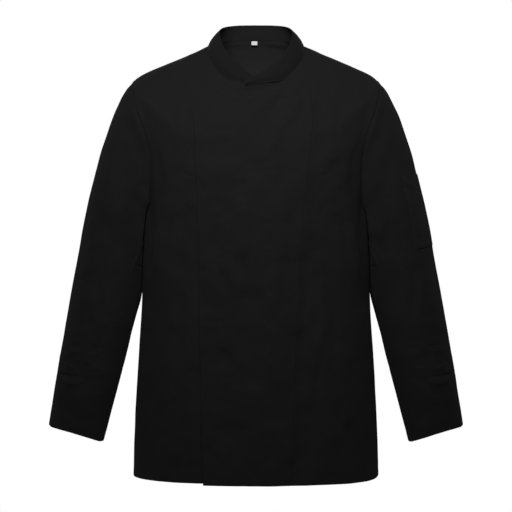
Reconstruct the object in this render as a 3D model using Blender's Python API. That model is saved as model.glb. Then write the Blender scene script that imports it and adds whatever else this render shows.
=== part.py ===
"""Chef jacket with a hidden double-breasted closing, a stand collar whose ends cross,
set-in sleeves, deep cuffs and a sleeve pocket, filled out as if worn.

Metres, +Z up. The jacket faces -Y and the wearer's left is +X. The origin lies midway
between the two points where the shoulders meet the collar.

Every piece is a wall of cloth cut from one of three forms:
  body    angle round the trunk (0 at the centre front, pi at the centre back) and
          section, counted down BODY_ROWS
  collar  station, counted from the centre back along COLLAR_ROWS, and height
  sleeve  angle round the arm (0 on its outer side, pi/2 at the front) and section,
          counted down SLEEVE_ROWS
"""

import math

import bmesh
import bpy
import numpy as np

PANEL_WALL = 0.0015
COLLAR_WALL = 0.0018
LABEL_WALL = 0.0010
SEAM_GAP = 0.0004
LAYER_GAP = 0.0005
EDGE_ANGLE = math.radians(50)
LAP_GAP = 0.0010

# Sections of the trunk, from the neck seam down to the hem. A section passes through the
# side point (half_width, side_y, side_z), the centre front and the centre back.
BODY_COLUMNS = (
    "half_width", "side_y", "side_z", "front_y", "front_z", "back_y", "back_z", "squareness",
)
BODY_ROWS = (
    (0.0850, 0.015, 0.0015, -0.0920, -0.0715, 0.0740, 0.0215, 2.0),
    (0.1180, 0.013, -0.0120, -0.1000, -0.0900, 0.0835, 0.0070, 2.1),
    (0.1505, 0.010, -0.0260, -0.1075, -0.1120, 0.0940, -0.0140, 2.2),
    (0.1810, 0.007, -0.0395, -0.1140, -0.1370, 0.1040, -0.0410, 2.3),
    (0.2025, 0.004, -0.0510, -0.1185, -0.1590, 0.1115, -0.0680, 2.4),
    (0.2160, 0.002, -0.0612, -0.1205, -0.1700, 0.1145, -0.0820, 2.45),
    (0.2120, 0.002, -0.0980, -0.1238, -0.1880, 0.1190, -0.1060, 2.5),
    (0.2050, 0.001, -0.1360, -0.1270, -0.2100, 0.1240, -0.1430, 2.55),
    (0.1995, 0.000, -0.1740, -0.1300, -0.2310, 0.1275, -0.1780, 2.55),
    (0.1960, 0.000, -0.2120, -0.1320, -0.2520, 0.1295, -0.2140, 2.5),
    (0.1942, 0.000, -0.2500, -0.1332, -0.2720, 0.1305, -0.2510, 2.45),
    (0.1936, 0.000, -0.2880, -0.1338, -0.2940, 0.1308, -0.2890, 2.4),
    (0.1945, 0.000, -0.3360, -0.1338, -0.3380, 0.1308, -0.3360, 2.35),
    (0.1956, 0.000, -0.3920, -0.1335, -0.3930, 0.1308, -0.3920, 2.3),
    (0.1972, 0.000, -0.4500, -0.1335, -0.4500, 0.1315, -0.4500, 2.3),
    (0.2008, 0.000, -0.5080, -0.1340, -0.5080, 0.1330, -0.5080, 2.3),
    (0.2045, 0.000, -0.5660, -0.1348, -0.5660, 0.1350, -0.5660, 2.3),
    (0.2077, 0.000, -0.6240, -0.1358, -0.6240, 0.1370, -0.6240, 2.3),
    (0.2100, 0.000, -0.6820, -0.1370, -0.6815, 0.1390, -0.6820, 2.3),
    (0.2112, 0.000, -0.7373, -0.1380, -0.7363, 0.1405, -0.7373, 2.3),
)
HEM_ROW = len(BODY_ROWS) - 1
DROP_POWER = 1.5
NECK_BLEND_ROWS = 1.6
NECK_SECTION_STEP = 0.020

# The armhole, an oval in angle and section between the shoulder point and the armpit
SHOULDER_ROW = 5
ARMPIT_ROW = 11
ARMHOLE_FRONT = math.radians(27)
ARMHOLE_BACK = math.radians(31)
ARMHOLE_STEPS = 12

# The fronts overlap. Each starts at its neck corner, runs down to its breast corner and on
# to the hem, at these distances past the centre.
NECK_CORNER_X = 0.018
BREAST_ROW = 3
OVERLAP_X = (0.103, 0.0865)
UNDERLAP_X = (0.097, 0.056)
RISE_START = math.radians(1)
RISE_END = math.radians(7)
LEFT_FRONT_LONGER = 0.003
LONGER_BETWEEN = (math.radians(88), math.radians(60))

# Steps of the grids: across the overlap on the wearer's right and left of the centre, from
# there to a side, across half the back, and along and up the collar. Between its neck edge
# and the armhole a panel has these sections.
LAP_STEPS = (5, 4)
OUTER_STEPS = 8
BACK_STEPS = 12
COLLAR_STEPS = 44
COLLAR_HEIGHT_STEPS = 3
SHOULDER_SECTIONS = (0.5, 1, 2, 3, 4)

# The collar from the centre back to its front end, along its seam and its top edge
COLLAR_COLUMNS = ("angle", "seam_x", "seam_y", "seam_z", "top_x", "top_y", "top_z")
COLLAR_ROWS = (
    (180, 0.0000, 0.0740, 0.0220, 0.0000, 0.0640, 0.0465),
    (150, 0.0440, 0.0660, 0.0195, 0.0350, 0.0575, 0.0450),
    (120, 0.0740, 0.0450, 0.0115, 0.0545, 0.0380, 0.0400),
    (90, 0.0850, 0.0150, 0.0015, 0.0625, 0.0090, 0.0290),
    (66, 0.0785, -0.0270, -0.0235, 0.0605, -0.0210, 0.0090),
    (45, 0.0600, -0.0630, -0.0525, 0.0475, -0.0490, -0.0180),
    (27, 0.0390, -0.0830, -0.0675, 0.0275, -0.0710, -0.0390),
    (10, 0.0150, -0.0925, -0.0715, 0.0095, -0.0840, -0.0545),
    (-12, -0.0180, -0.0955, -0.0780, -0.0180, -0.0930, -0.0695),
)
COLLAR_END = len(COLLAR_ROWS) - 1
COLLAR_RISE_BETWEEN = (4.5, 6.5)
COLLAR_SINK_BETWEEN = (6.0, 7.5)
COLLAR_SINK = 0.0026
COLLAR_BULGE = 0.0012

# Sections of the wearer's left sleeve, from the armhole to the cuff's edge. lean is how
# much higher each section's front lies than its back, for the depth between them.
SLEEVE_COLUMNS = (
    "outer_x", "outer_z", "inner_x", "inner_z", "middle_y", "half_depth", "squareness", "lean",
)
SLEEVE_ROWS = (
    (0.2160, -0.0620, 0.1940, -0.2880, 0.001, 0.0700, 2.2, 0.00),
    (0.2385, -0.1000, 0.1930, -0.2940, 0.001, 0.0710, 2.2, 0.00),
    (0.2550, -0.1430, 0.1925, -0.3020, 0.001, 0.0705, 2.2, 0.00),
    (0.2690, -0.1870, 0.1925, -0.3150, 0.001, 0.0700, 2.2, 0.00),
    (0.2805, -0.2320, 0.1925, -0.3360, 0.000, 0.0690, 2.2, 0.00),
    (0.2905, -0.2720, 0.1930, -0.3630, 0.000, 0.0670, 2.2, 0.00),
    (0.2990, -0.3130, 0.1950, -0.3950, -0.001, 0.0650, 2.2, 0.01),
    (0.3072, -0.3600, 0.1995, -0.4300, -0.003, 0.0630, 2.2, 0.02),
    (0.3168, -0.4130, 0.2060, -0.4600, -0.005, 0.0610, 2.2, 0.03),
    (0.3256, -0.4650, 0.2145, -0.4920, -0.008, 0.0590, 2.2, 0.04),
    (0.3316, -0.5000, 0.2220, -0.5240, -0.010, 0.0560, 2.2, 0.05),
    (0.3366, -0.5300, 0.2300, -0.5560, -0.012, 0.0530, 2.2, 0.06),
    (0.3461, -0.5900, 0.2460, -0.6170, -0.016, 0.0470, 2.2, 0.10),
    (0.3556, -0.6530, 0.2630, -0.6810, -0.020, 0.0400, 2.2, 0.14),
)
CUFF_ROW = 11
SLEEVE_END = len(SLEEVE_ROWS) - 1
SLEEVE_BLEND_ROWS = 2.5
SLEEVE_CLEAR = 0.0010
SLEEVE_SOFT = 0.0010
SLEEVE_STEPS = 2 * ARMHOLE_STEPS
SLEEVE_HEAD_SECTIONS = (0, 0.4, 1, 1.7, 2.5)
CUFF_SECTION_STEP = 0.06
CUFF_SECTIONS = 4
CUFF_PROUD = 0.0004

# The pocket lies on the outer side of the wearer's left sleeve, square to the arm
ARM_SLANT = math.radians(13)
POCKET_TOP_Z = -0.220
POCKET_BOTTOM_Z = -0.347
POCKET_HALF_ANGLE = math.radians(55)
POCKET_HALF_STEPS = 4
POCKET_ROW_STEPS = 7
POCKET_SAMPLE_STEP = 0.08
POCKET_WALL = 0.0010
POCKET_LIFT = 0.0007

LABEL_X = -0.0028
LABEL_WIDTH = 0.0106
LABEL_LENGTH = 0.0080

# The largest folds, as soft ridges or, with a minus, troughs between two points of the
# front view. A fold lies on the front, the back or both. It fades out at its ends, over
# this share of its length, and where the cloth turns to face sideways.
FOLD_FADE = 0.25
FOLD_FACING = 0.5
FOLD_COLUMNS = ("x1", "z1", "x2", "z2", "width", "height", "on_front", "on_back")
FOLD_ROWS = (
    (-0.110, -0.440, -0.120, -0.720, 0.030, 0.0030, 1, 1),
    (0.020, -0.420, 0.010, -0.730, 0.034, 0.0032, 1, 0),
    (0.120, -0.420, 0.134, -0.720, 0.030, 0.0030, 1, 1),
    (0.062, -0.380, 0.075, -0.720, 0.026, -0.0026, 1, 1),
    (-0.050, -0.440, -0.058, -0.700, 0.026, -0.0024, 1, 1),
    (-0.150, -0.300, -0.158, -0.420, 0.014, 0.0030, 1, 1),
    (0.150, -0.300, 0.158, -0.420, 0.014, 0.0030, 1, 1),
    (0.060, -0.098, -0.010, -0.200, 0.022, 0.0024, 1, 0),
    (0.000, -0.100, 0.000, -0.400, 0.040, -0.0030, 0, 1),
    (-0.085, -0.120, -0.070, -0.300, 0.030, 0.0030, 0, 1),
    (0.085, -0.120, 0.070, -0.300, 0.030, 0.0030, 0, 1),
)


def table(columns, rows):
    return dict(zip(columns, np.array(rows, float).T))


BODY = table(BODY_COLUMNS, BODY_ROWS)
COLLAR = table(COLLAR_COLUMNS, COLLAR_ROWS)
SLEEVE = table(SLEEVE_COLUMNS, SLEEVE_ROWS)


def read(column, row):
    """The value of a column at fractional rows, on a smooth curve through its rows."""
    last = len(column) - 1
    row = np.clip(row, 0, last)
    low = np.minimum(row.astype(int), last - 1)
    t = row - low
    padded = np.pad(column, 1, mode="reflect", reflect_type="odd")
    a, b, c, d = padded[low], padded[low + 1], padded[low + 2], padded[low + 3]
    return b + 0.5 * t * (c - a + t * (2 * a - 5 * b + 4 * c - d + t * (3 * (b - c) + d - a)))


def fade(value, start, end):
    """0 at start, 1 at end, and smooth between them."""
    t = np.clip((value - start) / (end - start), 0, 1)
    return t * t * (3 - 2 * t)


def unit(vectors):
    return vectors / np.linalg.norm(vectors, axis=-1, keepdims=True)


def oval(angle, squareness):
    """How far a point of a superellipse lies to the side and ahead, each from -1 to 1."""
    sine, cosine = np.sin(angle), np.cos(angle)
    power = 2 / squareness
    return np.sign(sine) * np.abs(sine) ** power, np.sign(cosine) * np.abs(cosine) ** power


def neck_seam(angle):
    station = np.interp(-angle, -np.radians(COLLAR["angle"]), np.arange(len(COLLAR_ROWS)))
    return np.stack([read(COLLAR[name], station) for name in ("seam_x", "seam_y", "seam_z")], -1)


def plain_body(angle, row):
    at = {name: read(BODY[name], row) for name in BODY_COLUMNS}
    aside, ahead = oval(angle, at["squareness"])
    front = np.cos(angle) > 0
    end_y = np.where(front, at["front_y"], at["back_y"])
    end_z = np.where(front, at["front_z"], at["back_z"])
    drop = np.abs(np.cos(angle)) ** DROP_POWER
    return np.stack([
        at["half_width"] * aside,
        at["side_y"] + (end_y - at["side_y"]) * np.abs(ahead),
        at["side_z"] + (end_z - at["side_z"]) * drop,
    ], -1)


def body_point(angle, row):
    """The trunk's outside, bent near the neck to end on the collar's seam."""
    zero = np.zeros_like(row)
    near_neck = np.clip(1 - row / NECK_BLEND_ROWS, 0, 1) ** 2
    bend = neck_seam(angle) - plain_body(angle, zero)
    return plain_body(angle, row) + bend * near_neck[..., None]


def sleeve_point(angle, row):
    """The outside of the wearer's left sleeve, bent near the armhole to end on its edge."""
    zero = np.zeros_like(row)
    near_armhole = np.clip(1 - row / SLEEVE_BLEND_ROWS, 0, 1) ** 2
    bend = sleeve_head(angle) - plain_sleeve(angle, zero)
    point = plain_sleeve(angle, row) + bend * near_armhole[..., None]
    return clear_of_trunk(point)


def clear_of_trunk(point):
    """Points beside the trunk, pushed out where they would press into its side."""
    z = point[..., 2]
    row = np.interp(-z, -BODY["side_z"], np.arange(len(BODY_ROWS)))
    depth = np.where(point[..., 1] < 0, read(BODY["front_y"], row), read(BODY["back_y"], row))
    ahead = np.clip(point[..., 1] / depth, 0, 1)
    squareness = read(BODY["squareness"], row)
    side = read(BODY["half_width"], row) * (1 - ahead**squareness) ** (1 / squareness)
    excess = (side + SLEEVE_CLEAR - point[..., 0]) / SLEEVE_SOFT
    push = SLEEVE_SOFT * np.logaddexp(0, np.clip(excess, -40, 40))
    below = fade(z, BODY["side_z"][ARMPIT_ROW - 1], BODY["side_z"][ARMPIT_ROW])
    pushed = point.copy()
    pushed[..., 0] += push * below
    return pushed


def plain_sleeve(angle, row):
    at = {name: read(SLEEVE[name], row) for name in SLEEVE_COLUMNS}
    ahead, outward = oval(angle, at["squareness"])
    middle_x = (at["outer_x"] + at["inner_x"]) / 2
    middle_z = (at["outer_z"] + at["inner_z"]) / 2
    forward = at["half_depth"] * ahead
    return np.stack([
        middle_x + (at["outer_x"] - at["inner_x"]) / 2 * outward,
        at["middle_y"] - forward,
        middle_z + (at["outer_z"] - at["inner_z"]) / 2 * outward + at["lean"] * forward,
    ], -1)


def armhole(turn):
    """Angle and section of the armhole's edge. turn is 0 at the shoulder point, pi at the
    armpit, and positive on the front."""
    reach = np.where(np.sin(turn) > 0, ARMHOLE_FRONT, ARMHOLE_BACK)
    row = SHOULDER_ROW + (ARMPIT_ROW - SHOULDER_ROW) * (1 - np.cos(turn)) / 2
    return math.pi / 2 - reach * np.sin(turn), row


def sleeve_head(turn):
    """The armhole's edge, drawn in by a seam's gap and lifted off the trunk by another."""
    angle, row = armhole(turn)
    edge = body_point(angle, row)
    middle_angle, middle_row = armhole(np.array([0, math.pi]))
    middle = body_point(middle_angle, middle_row).mean(0)
    normal = normals(body_point, angle, row)
    inward = middle - edge
    inward = unit(inward - normal * (inward * normal).sum(-1, keepdims=True))
    return edge + (inward + normal) * SEAM_GAP


def normals(form, angle, row):
    """Unit normals of a form, pointing out of it."""
    step = 1e-3
    across = form(angle + step, row) - form(angle - step, row)
    down = form(angle, row + step) - form(angle, row - step)
    return unit(np.cross(down, across))


def fold_height(points, facing):
    """How far the folds lift the cloth at these points. facing is the normal's Y."""
    lift = np.zeros(points.shape[:-1])
    x, z = points[..., 0], points[..., 2]
    for numbers in FOLD_ROWS:
        fold = dict(zip(FOLD_COLUMNS, numbers))
        run_x, run_z = fold["x2"] - fold["x1"], fold["z2"] - fold["z1"]
        from_x, from_z = x - fold["x1"], z - fold["z1"]
        long = math.hypot(run_x, run_z)
        along = (from_x * run_x + from_z * run_z) / long**2
        across = (from_x * run_z - from_z * run_x) / long
        ends = fade(along, -FOLD_FADE, FOLD_FADE) * fade(along, 1 + FOLD_FADE, 1 - FOLD_FADE)
        on_front = fold["on_front"] * fade(facing, 0, -FOLD_FACING)
        on_back = fold["on_back"] * fade(facing, 0, FOLD_FACING)
        shape = np.exp(-((across / fold["width"]) ** 2))
        lift += fold["height"] * ends * (on_front + on_back) * shape
    return lift


def seam_angle(row, end_column):
    """The angle half a seam's gap short of the side, towards the front or the back."""
    reach = np.abs(read(BODY[end_column], row) - read(BODY["side_y"], row))
    cosine = (SEAM_GAP / 2 / reach) ** (read(BODY["squareness"], row) / 2)
    return np.arccos(cosine)


def side_edge(row, end_column, reach):
    """Angle of a panel's side edge: the shoulder seam, the armhole, then the side seam."""
    t = np.clip((row - SHOULDER_ROW) / (ARMPIT_ROW - SHOULDER_ROW), 0, 1)
    armhole_angle = math.pi / 2 - reach * np.sin(np.arccos(1 - 2 * t))
    return np.minimum(seam_angle(row, end_column), armhole_angle)


def lap_edge(row, lap_x):
    """Angle, past the centre, of a front's free edge."""
    neck_part = NECK_CORNER_X + (lap_x[0] - NECK_CORNER_X) * row / BREAST_ROW
    long_part = lap_x[0] + (lap_x[1] - lap_x[0]) * (row - BREAST_ROW) / (HEM_ROW - BREAST_ROW)
    x = np.where(row < BREAST_ROW, neck_part, long_part)
    return np.arcsin((x / read(BODY["half_width"], row)) ** (read(BODY["squareness"], row) / 2))


def panel_rows():
    """The sections of the panels' grids, with every point of the armhole's edge on one."""
    neck = SEAM_GAP / NECK_SECTION_STEP
    turns = np.linspace(0, math.pi, ARMHOLE_STEPS + 1)
    beside_armhole = armhole(turns)[1]
    below = np.arange(ARMPIT_ROW + 1, HEM_ROW + 1)
    return np.concatenate([[neck], SHOULDER_SECTIONS, beside_armhole, below])


def mirrored(points):
    return points * np.array([-1.0, 1.0, 1.0])


def lay(points, normal, lift, thickness):
    """The two sides of a cloth that lies on these points, raised by lift, with its folds."""
    outer = points + normal * (fold_height(points, normal[..., 1]) + lift)[..., None]
    return outer, outer - normal * thickness


def wall(name, outer, inner, closed, cloth):
    """A closed wall between two grids of points, whose triangles slant alike. A closed
    grid joins its first and last columns, as on a tube."""
    rows, columns = outer.shape[:2]
    shape = bmesh.new()
    near, far = (
        [[shape.verts.new(point) for point in line] for line in points]
        for points in (outer, inner)
    )
    steps = columns if closed else columns - 1
    for i in range(rows - 1):
        for j in range(steps):
            k = (j + 1) % columns
            for sheet in (near, far):
                shape.faces.new((sheet[i][j], sheet[i + 1][j], sheet[i + 1][k]))
                shape.faces.new((sheet[i][j], sheet[i + 1][k], sheet[i][k]))
    for i in (0, rows - 1):
        for j in range(steps):
            k = (j + 1) % columns
            shape.faces.new((near[i][j], near[i][k], far[i][k], far[i][j]))
    for j in () if closed else (0, columns - 1):
        for i in range(rows - 1):
            shape.faces.new((near[i][j], near[i + 1][j], far[i + 1][j], far[i][j]))
    bmesh.ops.recalc_face_normals(shape, faces=shape.faces)
    mesh = bpy.data.meshes.new(name)
    shape.to_mesh(mesh)
    shape.free()
    mesh.shade_smooth()
    mesh.set_sharp_from_angle(angle=EDGE_ANGLE)
    mesh.materials.append(cloth)
    piece = bpy.data.objects.new(name, mesh)
    bpy.context.scene.collection.objects.link(piece)
    return piece


def material(name, colour, roughness):
    made = bpy.data.materials.new(name)
    made.use_nodes = True
    shader = made.node_tree.nodes["Principled BSDF"]
    shader.inputs["Base Color"].default_value = (*colour, 1.0)
    shader.inputs["Roughness"].default_value = roughness
    shader.inputs["Metallic"].default_value = 0.0
    return made


def back_cloth():
    return material("back twill", (0.0095, 0.0095, 0.0095), 0.85)


def front_right_cloth():
    return material("front right twill", (0.0095, 0.0095, 0.0095), 0.85)


def front_left_cloth():
    return material("front left twill", (0.0100, 0.0100, 0.0100), 0.85)


def collar_cloth():
    return material("collar twill", (0.0085, 0.0085, 0.0085), 0.80)


def sleeve_left_cloth():
    return material("sleeve left twill", (0.0090, 0.0090, 0.0090), 0.85)


def sleeve_right_cloth():
    return material("sleeve right twill", (0.0090, 0.0090, 0.0090), 0.85)


def cuff_left_cloth():
    return material("cuff left twill", (0.0088, 0.0088, 0.0088), 0.82)


def cuff_right_cloth():
    return material("cuff right twill", (0.0088, 0.0088, 0.0088), 0.82)


def pocket_cloth():
    return material("sleeve pocket twill", (0.0092, 0.0092, 0.0092), 0.85)


def label_cloth():
    return material("label satin tape", (0.80, 0.80, 0.79), 0.50)


def spread(stops, steps):
    """Angles of a panel's columns, by row: from stop to stop in so many equal steps."""
    between = zip(stops, stops[1:], steps)
    parts = [start + (end - start) * np.arange(count) / count for start, end, count in between]
    return np.concatenate([*parts, stops[-1]], 1)


def on_body(stops, steps):
    """Angles, sections, points and normals of a panel's grid."""
    angle = spread(stops, steps)
    row = np.broadcast_to(panel_rows()[:, None], angle.shape)
    return angle, row, body_point(angle, row), normals(body_point, angle, row)


def make_front_left(cloth):
    """The upper front. It rises by a layer where the lower front lies under it, and its
    columns there are the lower front's too."""
    row = panel_rows()[:, None]
    centre = np.zeros_like(row)
    lap = lap_edge(row, UNDERLAP_X)
    side = side_edge(row, "front_y", ARMHOLE_FRONT)
    stops = (-lap_edge(row, OVERLAP_X), centre, lap, lap + RISE_START, lap + RISE_END, side)
    angle, row, points, normal = on_body(stops, (*LAP_STEPS, 1, 1, OUTER_STEPS - 1))
    rise = (PANEL_WALL + LAP_GAP) * fade(angle, lap + RISE_END, lap + RISE_START)
    outer, inner = lay(points, normal, rise, PANEL_WALL)
    longer = fade(row, ARMPIT_ROW, HEM_ROW) * fade(angle, *LONGER_BETWEEN) * LEFT_FRONT_LONGER
    outer[..., 2] -= longer
    inner[..., 2] -= longer
    return wall("front_left", outer, inner, False, cloth)


def make_front_right(cloth):
    row = panel_rows()[:, None]
    centre = np.zeros_like(row)
    side = side_edge(row, "front_y", ARMHOLE_FRONT)
    stops = (-lap_edge(row, UNDERLAP_X), centre, lap_edge(row, OVERLAP_X), side)
    angle, row, points, normal = on_body(stops, (*LAP_STEPS[::-1], OUTER_STEPS))
    points, normal = mirrored(points)[:, ::-1], mirrored(normal)[:, ::-1]
    sides = lay(points, normal, np.zeros_like(angle), PANEL_WALL)
    return wall("front_right", *sides, False, cloth)


def make_back(cloth):
    row = panel_rows()[:, None]
    side = math.pi - side_edge(row, "back_y", ARMHOLE_BACK)
    centre = np.full_like(row, math.pi)
    points, normal = on_body((side, centre), (BACK_STEPS,))[2:]
    points = np.concatenate([points, mirrored(points[:, -2::-1])], 1)
    normal = np.concatenate([normal, mirrored(normal[:, -2::-1])], 1)
    sides = lay(points, normal, np.zeros(points.shape[:-1]), PANEL_WALL)
    return wall("back", *sides, False, cloth)


def collar_point(station, height):
    """A point of the collar's outside. station is negative on the wearer's right."""
    at = {name: read(COLLAR[name], np.abs(station)) for name in COLLAR_COLUMNS}
    seam = np.stack([at["seam_x"], at["seam_y"], at["seam_z"]], -1)
    top = np.stack([at["top_x"], at["top_y"], at["top_z"]], -1)
    start = SEAM_GAP * unit(top - seam)
    point = seam + start + (top - seam - start) * height[..., None]
    point[..., 0] *= np.where(station < 0, -1, 1)
    return point


def make_collar(cloth):
    """One band from end to end. Its left end rises over its right end, which sinks."""
    station = np.linspace(-COLLAR_END, COLLAR_END, COLLAR_STEPS + 1)[None, :]
    height = np.linspace(0, 1, COLLAR_HEIGHT_STEPS + 1)[:, None]
    station, height = np.broadcast_arrays(station, height)
    normal = normals(collar_point, station, height)
    rise = (COLLAR_WALL + LAYER_GAP) * fade(station, *COLLAR_RISE_BETWEEN)
    sink = -COLLAR_SINK * fade(-station, *COLLAR_SINK_BETWEEN)
    bulge = COLLAR_BULGE * np.sin(math.pi * height)
    sides = lay(collar_point(station, height), normal, rise + sink + bulge, COLLAR_WALL)
    return wall("collar", *sides, False, cloth)


def make_tube(name, rows, proud, flip, cloth):
    """A stretch of a sleeve, between the first and the last of these sections."""
    turn = np.arange(SLEEVE_STEPS) * 2 * math.pi / SLEEVE_STEPS
    turn = (turn + math.pi) % (2 * math.pi) - math.pi
    turn, row = np.meshgrid(turn, rows)
    points = sleeve_point(turn, row)
    normal = -normals(sleeve_point, turn, row)
    if flip:
        points, normal = mirrored(points), mirrored(normal)
    sides = lay(points, normal, np.full_like(turn, proud), PANEL_WALL)
    return wall(name, *sides, True, cloth)


def make_sleeve(name, flip, cloth):
    head_end = SLEEVE_HEAD_SECTIONS[-1]
    gap = SEAM_GAP / 2 / CUFF_SECTION_STEP
    arm = np.append(np.arange(head_end + 1, CUFF_ROW), CUFF_ROW - gap)
    rows = np.concatenate([SLEEVE_HEAD_SECTIONS, arm])
    return make_tube(name, rows, 0.0, flip, cloth)


def make_cuff(name, flip, cloth):
    gap = SEAM_GAP / 2 / CUFF_SECTION_STEP
    rows = np.linspace(CUFF_ROW + gap, SLEEVE_END, CUFF_SECTIONS + 1)
    return make_tube(name, rows, CUFF_PROUD, flip, cloth)


def make_pocket(cloth):
    """A patch on the outer side of the wearer's left sleeve, its rows square to the arm."""
    columns = np.arange(POCKET_HALF_STEPS, -POCKET_HALF_STEPS - 1, -1)
    turn = columns * 2 * math.pi / SLEEVE_STEPS
    turn = np.clip(turn, -POCKET_HALF_ANGLE, POCKET_HALF_ANGLE)
    axis = np.array([math.sin(ARM_SLANT), 0, -math.cos(ARM_SLANT)])
    samples = np.arange(1, CUFF_ROW, POCKET_SAMPLE_STEP)
    outline = sleeve_point(np.zeros_like(samples), samples)
    drop = np.linspace(POCKET_TOP_Z, POCKET_BOTTOM_Z, POCKET_ROW_STEPS + 1)
    reach = np.interp(-drop, -outline[:, 2], outline @ axis)
    row = np.empty((len(reach), len(turn)))
    for j, angle in enumerate(turn):
        line = sleeve_point(np.full_like(samples, angle), samples) @ axis
        row[:, j] = np.interp(reach, line, samples)
    turn = np.broadcast_to(turn, row.shape)
    points = sleeve_point(turn, row)
    normal = -normals(sleeve_point, turn, row)
    sides = lay(points, normal, np.full(row.shape, POCKET_LIFT + POCKET_WALL), POCKET_WALL)
    return wall("sleeve_pocket", *sides, False, cloth)


def make_label(cloth):
    """A tape that hangs straight down inside the back, from just below the neck seam."""
    across = (LABEL_X + np.array([-1, 1]) * LABEL_WIDTH / 2)[None, :]
    row = np.full_like(across, 2 * SEAM_GAP / NECK_SECTION_STEP)
    angle = math.pi - np.arcsin(np.abs(across) / BODY["half_width"][0])
    normal = normals(body_point, angle, row)
    top = body_point(angle, row) - normal * (PANEL_WALL + LAYER_GAP)
    top[..., 0] = across
    back = np.concatenate([top, top - [0, 0, LABEL_LENGTH]])
    return wall("neck_label", back, back - [0, LABEL_WALL, 0], False, cloth)


def main():
    for old in list(bpy.data.objects):
        bpy.data.objects.remove(old, do_unlink=True)
    make_back(back_cloth())
    make_front_right(front_right_cloth())
    make_front_left(front_left_cloth())
    make_collar(collar_cloth())
    make_sleeve("sleeve_left", False, sleeve_left_cloth())
    make_sleeve("sleeve_right", True, sleeve_right_cloth())
    make_cuff("cuff_left", False, cuff_left_cloth())
    make_cuff("cuff_right", True, cuff_right_cloth())
    make_pocket(pocket_cloth())
    make_label(label_cloth())


main()
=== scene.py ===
"""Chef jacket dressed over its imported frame: every cloth piece is a thin shell on the
same forms as its solid, with the creases, seams and stitches of the real cloth.

Metres, +Z up. The jacket faces -Y and the wearer's left is +X. Angles go round the trunk
(0 at the centre front, pi at the centre back) and round an arm (0 on its outer side,
pi/2 at the front). Sections are counted down the rows of BODY_ROWS and SLEEVE_ROWS.
A pair of values that ends in BETWEEN, FROM, UNTIL or ABOVE says where a thing is 0 and
where it is full.
"""

import math

import bpy
import numpy as np
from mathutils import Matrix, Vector


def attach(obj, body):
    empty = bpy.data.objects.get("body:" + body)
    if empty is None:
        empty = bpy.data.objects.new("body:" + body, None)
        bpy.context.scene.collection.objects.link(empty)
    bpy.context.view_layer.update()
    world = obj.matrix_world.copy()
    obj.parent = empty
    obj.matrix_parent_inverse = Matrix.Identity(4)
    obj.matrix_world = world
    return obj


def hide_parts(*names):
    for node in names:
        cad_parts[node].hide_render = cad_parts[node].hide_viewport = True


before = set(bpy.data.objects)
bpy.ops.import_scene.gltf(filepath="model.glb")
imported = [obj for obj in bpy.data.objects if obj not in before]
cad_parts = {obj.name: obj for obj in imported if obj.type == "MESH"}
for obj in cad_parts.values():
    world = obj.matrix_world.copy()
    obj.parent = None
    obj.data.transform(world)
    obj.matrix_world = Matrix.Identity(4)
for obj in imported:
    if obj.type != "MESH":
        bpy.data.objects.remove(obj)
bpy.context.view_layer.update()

# ---- sizes of the forms

CLOTH = 0.0010
COLLAR_CLOTH = 0.0018

# The overlap lies higher than the other front, by LAYER_TOP near the neck and LAYER_RISE
# below. It comes down by LAYER_STEP at the underlap's edge, which shows through below the
# neck with a faint ridge beside it, and by the rest over LAYER_FADE.
LAYER_TOP = 0.0015
LAYER_RISE = 0.0025
LAYER_BETWEEN = (2.0, 4.0)
LAYER_STEP = 0.0006
LAYER_FADE = 0.020
UNDERLAP_EDGE_BETWEEN = (0.0015, -0.0010)
UNDERLAP_RIDGE = 0.0004
UNDERLAP_RIDGE_IN = 0.0022
UNDERLAP_RIDGE_WIDTH = 0.0018
PRESSED_LIMIT = 0.80
PRESSED_BETWEEN = (1.8, 3.0)
# The other front is pressed in along the overlap's edge
TUCK_DEPTH = 0.0016
TUCK_WIDTH = 0.0018

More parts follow.
